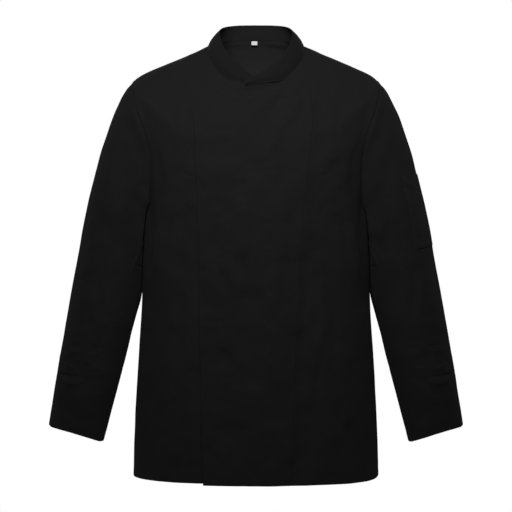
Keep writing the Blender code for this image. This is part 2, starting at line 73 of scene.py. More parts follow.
BODY_COLUMNS = (
    "half_width", "side_y", "side_z", "front_y", "front_z", "back_y", "back_z", "squareness",
)
BODY_ROWS = (
    (0.0850, 0.015, 0.0015, -0.0920, -0.0715, 0.0740, 0.0215, 2.0),
    (0.1180, 0.013, -0.0120, -0.1000, -0.0900, 0.0835, 0.0070, 2.1),
    (0.1505, 0.010, -0.0260, -0.1075, -0.1120, 0.0940, -0.0140, 2.2),
    (0.1810, 0.007, -0.0395, -0.1140, -0.1370, 0.1040, -0.0410, 2.3),
    (0.2025, 0.004, -0.0512, -0.1185, -0.1590, 0.1115, -0.0680, 2.4),
    (0.2140, 0.002, -0.0622, -0.1205, -0.1700, 0.1145, -0.0820, 2.45),
    (0.2120, 0.002, -0.0980, -0.1238, -0.1880, 0.1190, -0.1060, 2.5),
    (0.2050, 0.001, -0.1360, -0.1270, -0.2100, 0.1240, -0.1430, 2.55),
    (0.1995, 0.000, -0.1740, -0.1300, -0.2310, 0.1275, -0.1780, 2.55),
    (0.1960, 0.000, -0.2120, -0.1320, -0.2520, 0.1295, -0.2140, 2.5),
    (0.1942, 0.000, -0.2500, -0.1332, -0.2720, 0.1305, -0.2510, 2.45),
    (0.1936, 0.000, -0.2880, -0.1338, -0.2940, 0.1308, -0.2890, 2.4),
    (0.1945, 0.000, -0.3360, -0.1338, -0.3380, 0.1308, -0.3360, 2.35),
    (0.1956, 0.000, -0.3920, -0.1335, -0.3930, 0.1308, -0.3920, 2.3),
    (0.1972, 0.000, -0.4500, -0.1335, -0.4500, 0.1315, -0.4500, 2.3),
    (0.2008, 0.000, -0.5080, -0.1340, -0.5080, 0.1330, -0.5080, 2.3),
    (0.2045, 0.000, -0.5660, -0.1348, -0.5660, 0.1350, -0.5660, 2.3),
    (0.2077, 0.000, -0.6240, -0.1358, -0.6240, 0.1370, -0.6240, 2.3),
    (0.2100, 0.000, -0.6820, -0.1370, -0.6815, 0.1390, -0.6820, 2.3),
    (0.2112, 0.000, -0.7373, -0.1380, -0.7363, 0.1405, -0.7373, 2.3),
)
HEM_ROW = len(BODY_ROWS) - 1
DROP_POWER = 1.5
NECK_BLEND_ROWS = 1.6
# The trunk's normals are taken no nearer to the neck than this many rows
BELOW_SEAM = 0.05

SHOULDER_ROW = 5
ARMPIT_ROW = 11
ARMHOLE_FRONT = math.radians(27)
ARMHOLE_BACK = math.radians(31)

# A front's free edge leaves the neck at its corner. Its distance past the middle is given
# at BREAST_ROW and at the hem.
NECK_CORNER_X = 0.018
BREAST_ROW = 3
OVERLAP_X = (0.103, 0.0865)
UNDERLAP_X = (0.097, 0.056)
LEFT_FRONT_LONGER = 0.003
LONGER_BETWEEN = (math.radians(88), math.radians(60))

COLLAR_COLUMNS = ("angle", "seam_x", "seam_y", "seam_z", "top_x", "top_y", "top_z")
COLLAR_ROWS = (
    (180, 0.0000, 0.0740, 0.0220, 0.0000, 0.0640, 0.0465),
    (150, 0.0440, 0.0660, 0.0195, 0.0350, 0.0575, 0.0450),
    (120, 0.0740, 0.0450, 0.0115, 0.0545, 0.0380, 0.0400),
    (90, 0.0850, 0.0150, 0.0015, 0.0625, 0.0090, 0.0290),
    (66, 0.0785, -0.0270, -0.0235, 0.0605, -0.0210, 0.0090),
    (45, 0.0600, -0.0630, -0.0525, 0.0475, -0.0490, -0.0180),
    (27, 0.0390, -0.0830, -0.0675, 0.0275, -0.0710, -0.0390),
    (10, 0.0150, -0.0925, -0.0715, 0.0095, -0.0840, -0.0545),
    (-12, -0.0180, -0.0955, -0.0780, -0.0180, -0.0930, -0.0695),
)
COLLAR_END = len(COLLAR_ROWS) - 1
# The collar's left end lies higher and its right end lower, between these stations
COLLAR_RISE = 0.0028
COLLAR_RISE_BETWEEN = (4.5, 6.5)
COLLAR_SINK = 0.0052
COLLAR_SINK_BETWEEN = (6.0, 7.5)
# It bulges between its edges, most in front, and its seam lies further out behind
COLLAR_BULGE = 0.0034
COLLAR_BULGE_BETWEEN = (0.5, 4.0)
COLLAR_BULGE_FROM = (0, 0.40)
COLLAR_BULGE_UNTIL = (1.25, 0.6)
COLLAR_BACK_OUT = 0.0014
COLLAR_BACK_BETWEEN = (4.0, 2.5)
COLLAR_BACK_UNTIL = (0.3, 0)

SLEEVE_COLUMNS = (
    "outer_x", "outer_z", "inner_x", "inner_z", "middle_y", "half_depth", "squareness", "lean",
)
SLEEVE_ROWS = (
    (0.2160, -0.0620, 0.1940, -0.2880, 0.001, 0.0700, 2.2, 0.00),
    (0.2385, -0.1000, 0.1930, -0.2940, 0.001, 0.0710, 2.2, 0.00),
    (0.2550, -0.1430, 0.1925, -0.3020, 0.001, 0.0705, 2.2, 0.00),
    (0.2690, -0.1870, 0.1925, -0.3150, 0.001, 0.0700, 2.2, 0.00),
    (0.2805, -0.2320, 0.1925, -0.3360, 0.000, 0.0690, 2.2, 0.00),
    (0.2905, -0.2720, 0.1930, -0.3630, 0.000, 0.0670, 2.2, 0.00),
    (0.2990, -0.3130, 0.1940, -0.3950, -0.001, 0.0650, 2.2, 0.01),
    (0.3072, -0.3600, 0.1980, -0.4300, -0.003, 0.0630, 2.2, 0.02),
    (0.3168, -0.4130, 0.2060, -0.4600, -0.005, 0.0610, 2.2, 0.03),
    (0.3256, -0.4650, 0.2145, -0.4920, -0.008, 0.0590, 2.2, 0.04),
    (0.3316, -0.5000, 0.2220, -0.5240, -0.010, 0.0560, 2.2, 0.05),
    (0.3366, -0.5300, 0.2300, -0.5560, -0.012, 0.0530, 2.2, 0.06),
    (0.3461, -0.5900, 0.2460, -0.6170, -0.016, 0.0470, 2.2, 0.10),
    (0.3556, -0.6530, 0.2630, -0.6810, -0.020, 0.0400, 2.2, 0.14),
)
CUFF_ROW = 11
SLEEVE_END = len(SLEEVE_ROWS) - 1
SLEEVE_BLEND_ROWS = 2.5
# How far outside the trunk's side a sleeve stays, and how softly it is pushed there
SLEEVE_CLEAR = -0.0004
SLEEVE_SOFT = 0.0006
CUFF_PROUD = 0.0002
# The cuff's end is shorter at its two sides, which rounds its corners
CUFF_CORNER_ROWS = 0.05
CUFF_CORNER_START = 0.78
# Both ends of a sleeve reach a little under the next pieces
UNDER_REACH = 0.0060
UNDER_DEPTH = 0.0014
# The sleeve's head stands up beside the shoulder point, and the trunk is rounded off there
HEAD_LIFT = 0.0018
HEAD_FROM = (0, 0.3)
HEAD_UNTIL = (1.1, 0.4)
HEAD_OUTSIDE_FROM = (0.2, 0.9)
SHOULDER_DENT = 0.0020
SHOULDER_DENT_ABOVE = 0.45
SHOULDER_DENT_ROWS = 0.35
SHOULDER_DENT_WIDTH = 0.3

ARM_SLANT = math.radians(13)
POCKET_TOP_Z = -0.220
POCKET_BOTTOM_Z = -0.342
POCKET_HALF_ANGLE = math.radians(55)
POCKET_FORWARD = math.radians(13)
POCKET_LIFT = 0.0010
POCKET_SAMPLE_STEP = 0.08

LABEL_X = -0.0028
LABEL_IN = 0.0026
LABEL_WIDTH = 0.0101
LABEL_LENGTH = 0.0068
LABEL_THICKNESS = 0.00025
LABEL_FOLD = 0.00035

# ---- grids of the cloth

# A panel's row is gridded in stretches of about these lengths, by these steps, and more
# closely at an open edge
FRONT_GRID = 0.0030
BACK_GRID = 0.0040
FRONT_LEFT_LENGTHS = (0.100, 0.080, 0.200)
FRONT_LEFT_GRIDS = (FRONT_GRID, FRONT_GRID, FRONT_GRID)
FRONT_RIGHT_LENGTHS = (0.080, 0.095, 0.190)
FRONT_RIGHT_GRIDS = (2 * FRONT_GRID, 2 * FRONT_GRID, FRONT_GRID)
BACK_LENGTH = 0.280
EDGE_STEPS = (0.0, 0.0006, 0.0014, 0.0026)
EDGE_SPARE = 0.3

# Rows of the grids, in sections of the form: the first and last ones, and how many or how
# far apart the even ones between them are
NECK_FIRST = (0, 0.02, 0.05)
NECK_STEP = 0.1
ARMHOLE_ROWS = 97
LOWER_ROWS = 151
HEM_LAST = 0.02
SLEEVE_FIRST = (0, 0.012, 0.03, 0.07)
SLEEVE_HEAD = (0.12, 5)
SLEEVE_HEAD_STEP = 0.07
SLEEVE_LOWER_ROWS = 96
SLEEVE_LAST = (0.06, 0.025, 0)
CUFF_FIRST = (0, 0.012, 0.03)
CUFF_EVEN = (0.05, 0.03)
CUFF_ROWS = 50
CUFF_LAST = (0.012, 0)
TUBE_COLUMNS = 141
COLLAR_STATIONS = 211
COLLAR_EDGE_HEIGHTS = (0.0, 0.012, 0.03, 0.055)
COLLAR_EVEN = (0.09, 0.91)
COLLAR_HEIGHTS = 20
POCKET_POINTS = 61
LABEL_COLUMNS = 9
LABEL_ROWS = 7

# Edges that turn more than this aren't shaded smooth
SHARP_ANGLE = math.radians(38)

# ---- folds and creases

# A crease runs through three points of the front view. height is over the cloth, and
# under it with a minus. It lies on the front and the back by these shares.
CREASE_COLUMNS = ("x1", "z1", "x2", "z2", "x3", "z3", "width", "height", "front", "back")
CREASE_FACING_BETWEEN = (0.10, -0.30)
# Shares of its length, where it fades in and out, and of its width, at its ends
CREASE_FROM = (-0.25, 0.30)
CREASE_UNTIL = (1.25, 0.70)
CREASE_END_WIDTH = 0.55
# No point is lifted further away than these widths plus this share of its length
CREASE_REACH_WIDTHS = 3
CREASE_REACH_LENGTHS = 0.25
CREASE_STEPS = 8
TRUNK_CREASES = (
    # large soft folds, which the solids have too
    (-0.11, -0.44, -0.115, -0.58, -0.12, -0.72, 0.03, 0.00405, 1, 1),
    (0.02, -0.42, 0.015, -0.575, 0.01, -0.73, 0.034, 0.00432, 1, 0),
    (0.12, -0.42, 0.127, -0.57, 0.134, -0.72, 0.03, 0.00405, 1, 1),
    (0.062, -0.38, 0.068, -0.55, 0.075, -0.72, 0.026, -0.00351, 1, 1),
    (-0.05, -0.44, -0.054, -0.57, -0.058, -0.7, 0.026, -0.00324, 1, 1),
    (0.06, -0.098, 0.028, -0.145, -0.01, -0.2, 0.022, 0.00324, 1, 0),
    (0, -0.1, 0, -0.25, 0, -0.4, 0.04, -0.00405, 0, 1),
    (-0.085, -0.12, -0.078, -0.21, -0.07, -0.3, 0.03, 0.00405, 0, 1),
    (0.085, -0.12, 0.078, -0.21, 0.07, -0.3, 0.03, 0.00405, 0, 1),
    # pulls from the overlap's edge
    (-0.122, -0.1695, -0.112, -0.1745, -0.102, -0.186, 0.004, -0.00061, 1, 0),
    # folds down from the collar's left
    (0.05, -0.0885, 0.0235, -0.1265, -0.008, -0.186, 0.008, -0.00283, 1, 0),
    (0.073, -0.1, 0.0465, -0.143, 0.0135, -0.199, 0.009, 0.00203, 1, 0),
    (0.027, -0.09, 0.0035, -0.1165, -0.0295, -0.153, 0.007, 0.00182, 1, 0),
    (0.0715, -0.077, 0.0765, -0.1, 0.0815, -0.123, 0.005, -0.00203, 1, 0),
    (0.088, -0.077, 0.0905, -0.11, 0.0905, -0.143, 0.0026, 0.00101, 1, 0),
    # the crease beside the chest
    (0.103, -0.0935, 0.1035, -0.133, 0.1035, -0.186, 0.0013, -0.0007, 1, 0),
    (0.1065, -0.123, 0.107, -0.156, 0.1055, -0.191, 0.0015, 0.00081, 1, 0),
    # under the collar's end
    (-0.024, -0.086, 0.016, -0.08, 0.056, -0.0655, 0.0056, -0.0043, 1, 0),
    (-0.0655, -0.0835, -0.0295, -0.1, 0.0135, -0.095, 0.0045, 0.00182, 1, 0),
    (0.0235, -0.0935, 0.06, -0.087, 0.078, -0.0605, 0.0045, 0.00122, 1, 0),
    (-0.031, -0.1365, -0.046, -0.1495, -0.069, -0.158, 0.0026, -0.00092, 1, 0),
    (-0.0445, -0.123, -0.061, -0.133, -0.0775, -0.1365, 0.0026, -0.0007, 1, 0),
    (-0.003, -0.1595, -0.0145, -0.1795, -0.0295, -0.199, 0.004, -0.00122, 1, 0),
    (-0.0095, -0.196, -0.0195, -0.2155, -0.036, -0.229, 0.0045, -0.00101, 1, 0),
    (-0.0325, -0.1695, -0.046, -0.189, -0.061, -0.2025, 0.008, 0.00122, 1, 0),
    # chest and waist
    (0.01, -0.222, 0.0285, -0.219, 0.0515, -0.2205, 0.0032, -0.0007, 1, 0),
    (-0.013, -0.2455, -0.016, -0.31, -0.021, -0.371, 0.008, 0.00182, 1, 0),
    (0.017, -0.229, 0.0135, -0.2935, 0.017, -0.371, 0.01, -0.00203, 1, 0),
    (0.0465, -0.252, 0.045, -0.31, 0.0465, -0.371, 0.009, 0.00162, 1, 0),
    (-0.056, -0.285, -0.0575, -0.3345, -0.064, -0.371, 0.008, -0.00142, 1, 0),
    (-0.0425, -0.3445, -0.056, -0.3575, -0.0725, -0.361, 0.003, 0.0007, 1, 0),
    (-0.0325, -0.3545, -0.0395, -0.3875, -0.0395, -0.4205, 0.005, 0.00122, 1, 0),
    (-0.0755, -0.371, -0.0625, -0.381, -0.056, -0.394, 0.004, -0.00092, 1, 0),
    # beside the underlap's edge
    (0.083, -0.371, 0.078, -0.483, 0.068, -0.665, 0.007, -0.00243, 1, 0),
    (0.106, -0.371, 0.1075, -0.45, 0.103, -0.5195, 0.008, 0.00223, 1, 0),
    # drag lines at the lower stud
    (-0.084, -0.4635, -0.0705, -0.4685, -0.0525, -0.4665, 0.0026, -0.00092, 1, 0),
    (-0.0825, -0.4765, -0.069, -0.48, -0.0525, -0.4785, 0.0032, 0.0007, 1, 0),
    # lower front
    (-0.021, -0.4915, -0.0195, -0.5245, -0.021, -0.556, 0.003, 0.00092, 1, 0),
    (-0.056, -0.503, -0.049, -0.5145, -0.0375, -0.5195, 0.004, 0.00101, 1, 0),
    (-0.0425, -0.5425, -0.051, -0.599, -0.056, -0.6485, 0.011, -0.00162, 1, 0),
    (0.01, -0.4635, 0.027, -0.47, 0.0435, -0.483, 0.008, -0.00122, 1, 0),
    (0.106, -0.5195, 0.103, -0.569, 0.096, -0.6185, 0.005, -0.00182, 1, 0.5),
    # tape over the back neck seam, which shows inside
    (0.016, 0.016, 0.042, 0.0138, 0.066, 0.0085, 0.0042, -0.0012, 0, 1),
    (-0.058, 0.01, -0.035, 0.015, -0.01, 0.0165, 0.003, -0.00054, 0, 1),
    # back
    (-0.046, -0.052, -0.058, -0.084, -0.078, -0.112, 0.006, -0.00135, 0, 1),
    (0.04, -0.05, 0.056, -0.078, 0.08, -0.1, 0.007, -0.00149, 0, 1),
    (-0.03, -0.27, -0.042, -0.35, -0.04, -0.43, 0.01, -0.00176, 0, 1),
    (0.034, -0.3, 0.04, -0.38, 0.052, -0.45, 0.009, 0.00162, 0, 1),
    (0.122, -0.352, 0.092, -0.376, 0.06, -0.384, 0.006, -0.00162, 0, 1),
    (-0.128, -0.34, -0.098, -0.366, -0.07, -0.372, 0.007, -0.00176, 0, 1),
    (-0.022, -0.48, -0.016, -0.57, -0.022, -0.66, 0.012, 0.00189, 0, 1),
    (0.02, -0.52, 0.026, -0.6, 0.018, -0.7, 0.01, -0.00162, 0, 1),
    (-0.092, -0.5, -0.096, -0.57, -0.088, -0.65, 0.009, -0.00162, 0, 1),
    (0.108, -0.478, 0.1, -0.54, 0.104, -0.61, 0.008, 0.00149, 0, 1),
)
# These, and all on the arms, lie on both sides: x is their distance from the middle
PAIRED_TRUNK_CREASES = (
    # large soft folds, which the solids have too
    (0.15, -0.3, 0.154, -0.36, 0.158, -0.42, 0.014, 0.00405, 1, 1),
    # beside the armholes
    (0.1665, -0.186, 0.163, -0.232, 0.168, -0.2885, 0.009, -0.0034, 1, 0.6),
    # underarm folds
    (0.1435, -0.305, 0.1485, -0.3345, 0.16, -0.3875, 0.0034, -0.00385, 1, 0.7),
    (0.1585, -0.3145, 0.165, -0.3545, 0.175, -0.4075, 0.006, 0.00347, 1, 0.7),
    (0.13, -0.318, 0.137, -0.371, 0.1465, -0.4205, 0.008, 0.00269, 1, 0.5),
    (0.175, -0.305, 0.175, -0.3345, 0.1765, -0.371, 0.003, -0.00193, 1, 1),
    # pulls from the overlap's edge
    (0.125, -0.222, 0.1135, -0.2265, 0.1005, -0.229, 0.0024, -0.00092, 1, 0),
    (0.1235, -0.27, 0.1135, -0.2815, 0.1035, -0.295, 0.004, -0.0007, 1, 0),
    # lower front
    (0.136, -0.4335, 0.141, -0.533, 0.144, -0.6485, 0.012, 0.00223, 1, 0.6),
    (0.1285, -0.4335, 0.132, -0.533, 0.1385, -0.6485, 0.011, -0.00203, 1, 0.6),
    (0.1915, -0.483, 0.1915, -0.566, 0.1945, -0.665, 0.008, 0.00182, 1, 1),
    # shoulders
    (0.1155, -0.09, 0.122, -0.11, 0.132, -0.1295, 0.008, 0.00122, 1, 0),
    (0.1485, -0.0965, 0.1385, -0.123, 0.135, -0.153, 0.01, -0.00101, 1, 0),
    # back
    (0.132, -0.13, 0.112, -0.176, 0.098, -0.238, 0.007, -0.00189, 0, 1),
    (0.144, -0.15, 0.128, -0.196, 0.116, -0.252, 0.008, 0.00162, 0, 1),
)
SLEEVE_CREASES = (
    # upper arm
    (0.2445, -0.1445, 0.233, -0.1665, 0.2175, -0.185, 0.0026, -0.00056, 1, 0),
    (0.2295, -0.1415, 0.216, -0.165, 0.2025, -0.1785, 0.0032, 0.00044, 1, 0),
    (0.2465, -0.138, 0.2475, -0.199, 0.2465, -0.307, 0.0012, -0.00028, 1, 0),
    (0.27, -0.2495, 0.2735, -0.3085, 0.2835, -0.371, 0.009, 0.001, 1, 0.5),
    (0.2025, -0.199, 0.201, -0.258, 0.206, -0.3135, 0.008, 0.001, 1, 0.5),
    # elbow
    (0.225, -0.3035, 0.2195, -0.3405, 0.211, -0.3815, 0.0019, -0.00125, 1, 0),
    (0.216, -0.307, 0.211, -0.3375, 0.2065, -0.3645, 0.003, 0.00088, 1, 0),
    (0.2345, -0.3205, 0.2305, -0.354, 0.2225, -0.395, 0.0034, 0.00075, 1, 0),
    (0.244, -0.317, 0.243, -0.354, 0.2415, -0.4015, 0.0019, -0.001, 1, 0),
    (0.253, -0.3205, 0.253, -0.361, 0.25, -0.4115, 0.004, 0.00075, 1, 0),
    (0.228, -0.3845, 0.231, -0.4115, 0.238, -0.442, 0.004, -0.00088, 1, 0.4),
    # forearm
    (0.287, -0.3745, 0.2835, -0.4085, 0.28, -0.442, 0.0045, 0.00112, 1, 0.4),
    (0.2685, -0.3815, 0.2665, -0.425, 0.2615, -0.4725, 0.0045, -0.00112, 1, 0.4),
    (0.253, -0.4115, 0.2505, -0.4385, 0.248, -0.466, 0.0036, 0.00112, 1, 0.4),
    (0.25, -0.466, 0.2415, -0.469, 0.2345, -0.474, 0.0032, 0.00075, 1, 0.4),
    (0.28, -0.4455, 0.276, -0.466, 0.27, -0.486, 0.0034, 0.00063, 1, 0.4),
    (0.3005, -0.351, 0.3055, -0.4015, 0.307, -0.4555, 0.006, -0.00088, 1, 0.5),
    # seam and wrinkles under the arm
    (0.1865, -0.324, 0.2015, -0.354, 0.2105, -0.392, 0.0017, 0.00162, 1, 0.6),
    (0.1955, -0.344, 0.207, -0.3645, 0.215, -0.4, 0.0022, -0.00088, 1, 0.6),
    (0.2065, -0.3805, 0.201, -0.3785, 0.194, -0.3805, 0.0018, -0.00112, 1, 0.6),
    # gathers above the cuff
    (0.3225, -0.515, 0.309, -0.5225, 0.2955, -0.52, 0.0028, 0.00088, 1, 0.5),
    (0.2905, -0.5215, 0.275, -0.5285, 0.2615, -0.5215, 0.0028, 0.00075, 1, 0.5),
    (0.3155, -0.508, 0.302, -0.513, 0.287, -0.5105, 0.0024, -0.00063, 1, 0.5),
    (0.28, -0.513, 0.2665, -0.518, 0.253, -0.515, 0.0024, -0.00063, 1, 0.5),
    (0.2665, -0.4995, 0.26, -0.508, 0.2565, -0.52, 0.0026, 0.0005, 1, 0.5),
    # back
    (0.246, -0.292, 0.232, -0.33, 0.214, -0.352, 0.006, -0.0015, 0, 1),
    (0.268, -0.322, 0.25, -0.352, 0.226, -0.372, 0.007, 0.0014, 0, 1),
    (0.284, -0.352, 0.262, -0.382, 0.236, -0.398, 0.0055, -0.0014, 0, 1),
    (0.252, -0.15, 0.24, -0.2, 0.242, -0.25, 0.008, -0.0012, 0, 1),
    (0.276, -0.41, 0.266, -0.45, 0.262, -0.49, 0.006, 0.0012, 0, 1),
)
CUFF_CREASES = (
    (0.3365, -0.561, 0.316, -0.564, 0.299, -0.565, 0.0026, -0.00165, 1, 0.4),
    (0.2955, -0.567, 0.2785, -0.569, 0.258, -0.5655, 0.002, -0.0008, 1, 0.4),
    (0.3225, -0.5445, 0.314, -0.549, 0.3025, -0.552, 0.0028, 0.00151, 1, 0.3),
    (0.292, -0.5515, 0.2785, -0.552, 0.2615, -0.5515, 0.0026, 0.00084, 1, 0.3),
    (0.328, -0.57, 0.312, -0.5765, 0.295, -0.575, 0.0052, 0.0024, 1, 0.3),
    (0.328, -0.5785, 0.318, -0.599, 0.313, -0.6125, 0.0026, -0.0007, 1, 0),
    (0.289, -0.5855, 0.297, -0.599, 0.3075, -0.61, 0.004, 0.0011, 1, 0),
    (0.312, -0.582, 0.2955, -0.5785, 0.276, -0.572, 0.002, -0.0011, 1, 0),
    (0.2785, -0.5785, 0.27, -0.5855, 0.265, -0.5955, 0.003, 0.00067, 1, 0),
    (0.3025, -0.6125, 0.282, -0.623, 0.265, -0.64, 0.006, 0.00084, 1, 0),
    (0.333, -0.609, 0.3225, -0.626, 0.299, -0.64, 0.006, -0.00084, 1, 0.3),
)
POCKET_CREASES = (
    (0.242, -0.2375, 0.252, -0.245, 0.264, -0.251, 0.0022, -0.00108, 1, 0),
    (0.247, -0.231, 0.2555, -0.2375, 0.2655, -0.2425, 0.0026, 0.00084, 1, 0),
    (0.247, -0.2595, 0.257, -0.2555, 0.2675, -0.2495, 0.0022, -0.00084, 1, 0),
    (0.2585, -0.258, 0.263, -0.2875, 0.271, -0.318, 0.006, 0.0015, 1, 0),
)

# The cloth bridges the hollow between trunk and sleeve. For each height: where it does so
# in the front view, over what reach, and how far it lies further out and further in to
# the middle. At the back it does less.
BRIDGE_COLUMNS = ("z", "x", "reach", "out", "in")
BRIDGE_ROWS = (
    (-0.06, 0.2140, 0.0110, 0.0000, 0.0000),
    (-0.08, 0.2135, 0.0105, 0.0060, 0.0000),
    (-0.10, 0.2085, 0.0095, 0.0120, 0.0000),
    (-0.12, 0.2020, 0.0093, 0.0120, 0.0000),
    (-0.14, 0.1970, 0.0095, 0.0115, 0.0015),
    (-0.16, 0.1915, 0.0095, 0.0095, 0.0025),
    (-0.18, 0.1870, 0.0090, 0.0055, 0.0025),
    (-0.20, 0.1840, 0.0080, 0.0012, 0.0022),
    (-0.22, 0.1840, 0.0080, 0.0000, 0.0018),
    (-0.24, 0.1860, 0.0080, 0.0020, 0.0032),
    (-0.26, 0.1900, 0.0090, 0.0080, 0.0070),
    (-0.28, 0.1920, 0.0095, 0.0130, 0.0115),
    (-0.30, 0.1930, 0.0100, 0.0160, 0.0130),
    (-0.32, 0.1940, 0.0100, 0.0160, 0.0120),
    (-0.34, 0.1950, 0.0100, 0.0140, 0.0085),
    (-0.36, 0.1965, 0.0100, 0.0110, 0.0045),
    (-0.38, 0.1980, 0.0100, 0.0070, 0.0010),
    (-0.40, 0.2000, 0.0100, 0.0025, 0.0000),
    (-0.42, 0.2020, 0.0100, 0.0000, 0.0000),
)
BRIDGE_BACK = 0.8
BRIDGE_SLEEVE_REACH = 1.5
BRIDGE_SLEEVE_ABOVE = (-0.20, -0.14)
BRIDGE_Y_FROM = (0.006, 0.040)
BRIDGE_IN_Y_FROM = (0.020, 0.050)
BRIDGE_IN_REACH = 1.6

# Shallow dimples over the hidden studs and, with a minus, small rises beside them
DIMPLE_COLUMNS = ("x", "z", "radius", "depth")
DIMPLE_ROWS = (
    (-0.083, -0.118, 0.0060, 0.0012),
    (-0.084, -0.221, 0.0065, 0.0014),
    (-0.083, -0.253, 0.0060, 0.0010),
    (-0.086, -0.238, 0.0045, -0.0006),
    (-0.087, -0.270, 0.0050, -0.0005),
    (-0.083, -0.385, 0.0060, 0.0007),
    (-0.084, -0.497, 0.0065, 0.0010),
    (-0.053, -0.513, 0.0045, -0.0006),
    (-0.044, -0.629, 0.0050, -0.0006),
    (0.046, -0.372, 0.0090, 0.0008),
)

# Slow unevenness of the cloth: size of a wave, how much longer it is downwards, height
WAVE_ROWS = ((0.055, 1.5, 0.00160), (0.026, 1.2, 0.00260), (0.011, 1.0, 0.00055))
# They are lower near the neck, and where the cloth faces sideways
CALM = 0.65
CALM_ABOVE = (-0.13, -0.04)
SIDE_CALM = 0.90
WAVE_SEED = 3
NOISE_CELLS = 32

# ---- seams and edges

# Each edge of a piece, from its outside in: it dips by dip over reach, lies doubled for
# doubled and stands rise higher there, and is puckered by its sewing.
EDGE_COLUMNS = ("dip", "reach", "doubled", "rise", "pucker", "pucker_reach")
EDGE_KINDS = {
    "sewn": (0.0003, 0.0012, 0.0, 0.0, 0.00010, 0.006),
    "plain_seam": (0.0003, 0.0010, 0.0, 0.0, 0.00008, 0.005),
    "collar_seam": (0.0012, 0.0050, 0.0, 0.0, 0.00025, 0.006),
    "neck": (0.0009, 0.0045, 0.0, 0.0, 0.00020, 0.006),
    "gathered": (0.0004, 0.0014, 0.0, 0.0, 0.00120, 0.009),
    "cuff_top": (0.0000, 0.0010, 0.006, 0.0001, 0.00090, 0.012),
    "cuff_end": (0.0003, 0.0010, 0.0, 0.0, 0.00012, 0.010),
    "hem": (0.0002, 0.0008, 0.0100, 0.0003, 0.00020, 0.012),
    "turned": (0.0003, 0.0008, 0.0022, 0.0002, 0.00012, 0.006),
    "overlap": (-0.0004, 0.0040, 0.0030, 0.0002, 0.00025, 0.012),
    "pocket_top": (0.0002, 0.0008, 0.0180, 0.0002, 0.00010, 0.006),
}
# Heights between which the armhole's seam starts to show
SEAM_SHOWS_BETWEEN = (-0.100, -0.150)
DOUBLED_EDGE = 0.0012
PUCKER_PITCH = 0.0060
PUCKER_LONGER = 3
PUCKER_SEED_STEP = 11
# A row of stitches lies in a groove
GROOVE_DEPTH = 0.00030
GROOVE_HALF_WIDTH = 0.0009

STITCH_PITCH = 0.0029
STITCH_LENGTH = 0.0023
STITCH_WIDTH = 0.00050
STITCH_HEIGHT = 0.00022
STITCH_AHEAD = 1e-4
# One stitch as corners in shares of its length, width and height, and its triangles
STITCH_CORNERS = (
    (-0.5, 0.0, -0.5), (-0.25, -0.5, 0.0), (-0.25, 0.0, 1.0), (-0.25, 0.5, 0.0),
    (0.25, -0.5, 0.0), (0.25, 0.0, 1.0), (0.25, 0.5, 0.0), (0.5, 0.0, -0.5),
)
STITCH_TRIANGLES = (
    (0, 1, 2), (0, 2, 3), (0, 3, 1), (1, 4, 5), (1, 5, 2), (2, 5, 6),
    (2, 6, 3), (3, 6, 4), (3, 4, 1), (7, 5, 4), (7, 6, 5), (7, 4, 6),
)

# Each piece's edges, its thickness, the seed of its puckers, and the rows of stitches on
# it as an edge and their distance from it
HEM_STITCHES = ("bottom", 0.0098)
PIECE_COLUMNS = ("top", "bottom", "start", "end", "thickness", "seed", "stitches")
PIECES = {
    "front_left": (
        "neck", "hem", "overlap", "sewn", CLOTH, 3, (HEM_STITCHES, ("start", 0.0020)),
    ),
    "front_right": ("neck", "hem", "turned", "sewn", CLOTH, 3, (HEM_STITCHES,)),
    "back": ("sewn", "hem", "sewn", "sewn", CLOTH, 5, (HEM_STITCHES,)),
    "collar": (
        "collar_seam", "turned", "turned", "turned", COLLAR_CLOTH, 7,
        (("bottom", 0.0020), ("end", 0.0020)),
    ),
    "sleeve": ("sewn", "gathered", "plain_seam", "plain_seam", CLOTH, 9, ()),
    "cuff": ("cuff_top", "cuff_end", "plain_seam", "plain_seam", CLOTH, 9, (("top", 0.0020),)),
    "pocket": (
        "pocket_top", "turned", "turned", "turned", CLOTH, 13,
        (("top", 0.0175), ("bottom", 0.0018), ("start", 0.0018), ("end", 0.0018)),
    ),
}

# ---- colours and light

TWILL_TURN = math.radians(27)
# The second column paints light on a piece's inside faces: how much paler they are made.
FABRIC_COLUMNS = (
    "grey", "painted_light_inside", "roughness", "pitch", "turn", "relief", "sheen", "variation",
)
FABRICS = {
    "black_twill_trunk": (0.0095, 1.25, 0.90, 0.0011, TWILL_TURN, 0.00004, 0.018, 0.16),
    # The collar and the sleeves with their cuffs are given a darker grey than the trunk: painted
    # shade.
    "black_twill_collar_painted_shade": (0.0078, 0.95, 0.90, 0.0011, TWILL_TURN, 0.00004, 0.018, 0.16),
    "black_twill_sleeve_painted_shade": (0.0086, 0.0, 0.90, 0.0011, TWILL_TURN, 0.00004, 0.018, 0.16),
    # The pocket is given a paler grey than the sleeve it lies on: painted light.
    "black_twill_pocket_painted_light": (0.0093, 0.0, 0.90, 0.0011, TWILL_TURN, 0.00004, 0.018, 0.16),
    "black_thread": (0.0110, 0.0, 0.70, 0.0006, 0.0, 0.00002, 0.0, 0.10),
    "label_tape": (0.80, 0.0, 0.55, 0.0007, 0.0, 0.00002, 0.05, 0.05),
}
SPECULAR = 0.10
SHEEN_ROUGHNESS = 0.6
# A wave texture of scale 1 has this many waves in each 2 pi
WAVES_PER_TURN = 20
RIB_DISTORTION = 0.6
RIB_DETAIL = 1.0
RIB_DETAIL_SCALE = 0.4
# The yarn's noise changes so often in each pitch, and the drift's in each metre
YARN_SCALE = 0.55
YARN_DETAIL = 3.0
YARN_RELIEF = 0.8
YARN_SHADE = 2.0
YARN_WORN = 0.3
DRIFT_SCALE = 14.0
DRIFT_DETAIL = 4.0
DRIFT_SHADE = 1.4

CAMERA_AWAY = 2.8
CAMERA_Z = -0.361
CAMERA_SENSOR = 36.0
CAMERA_FAR = 50.0
VIEW_WIDTH = 0.88576

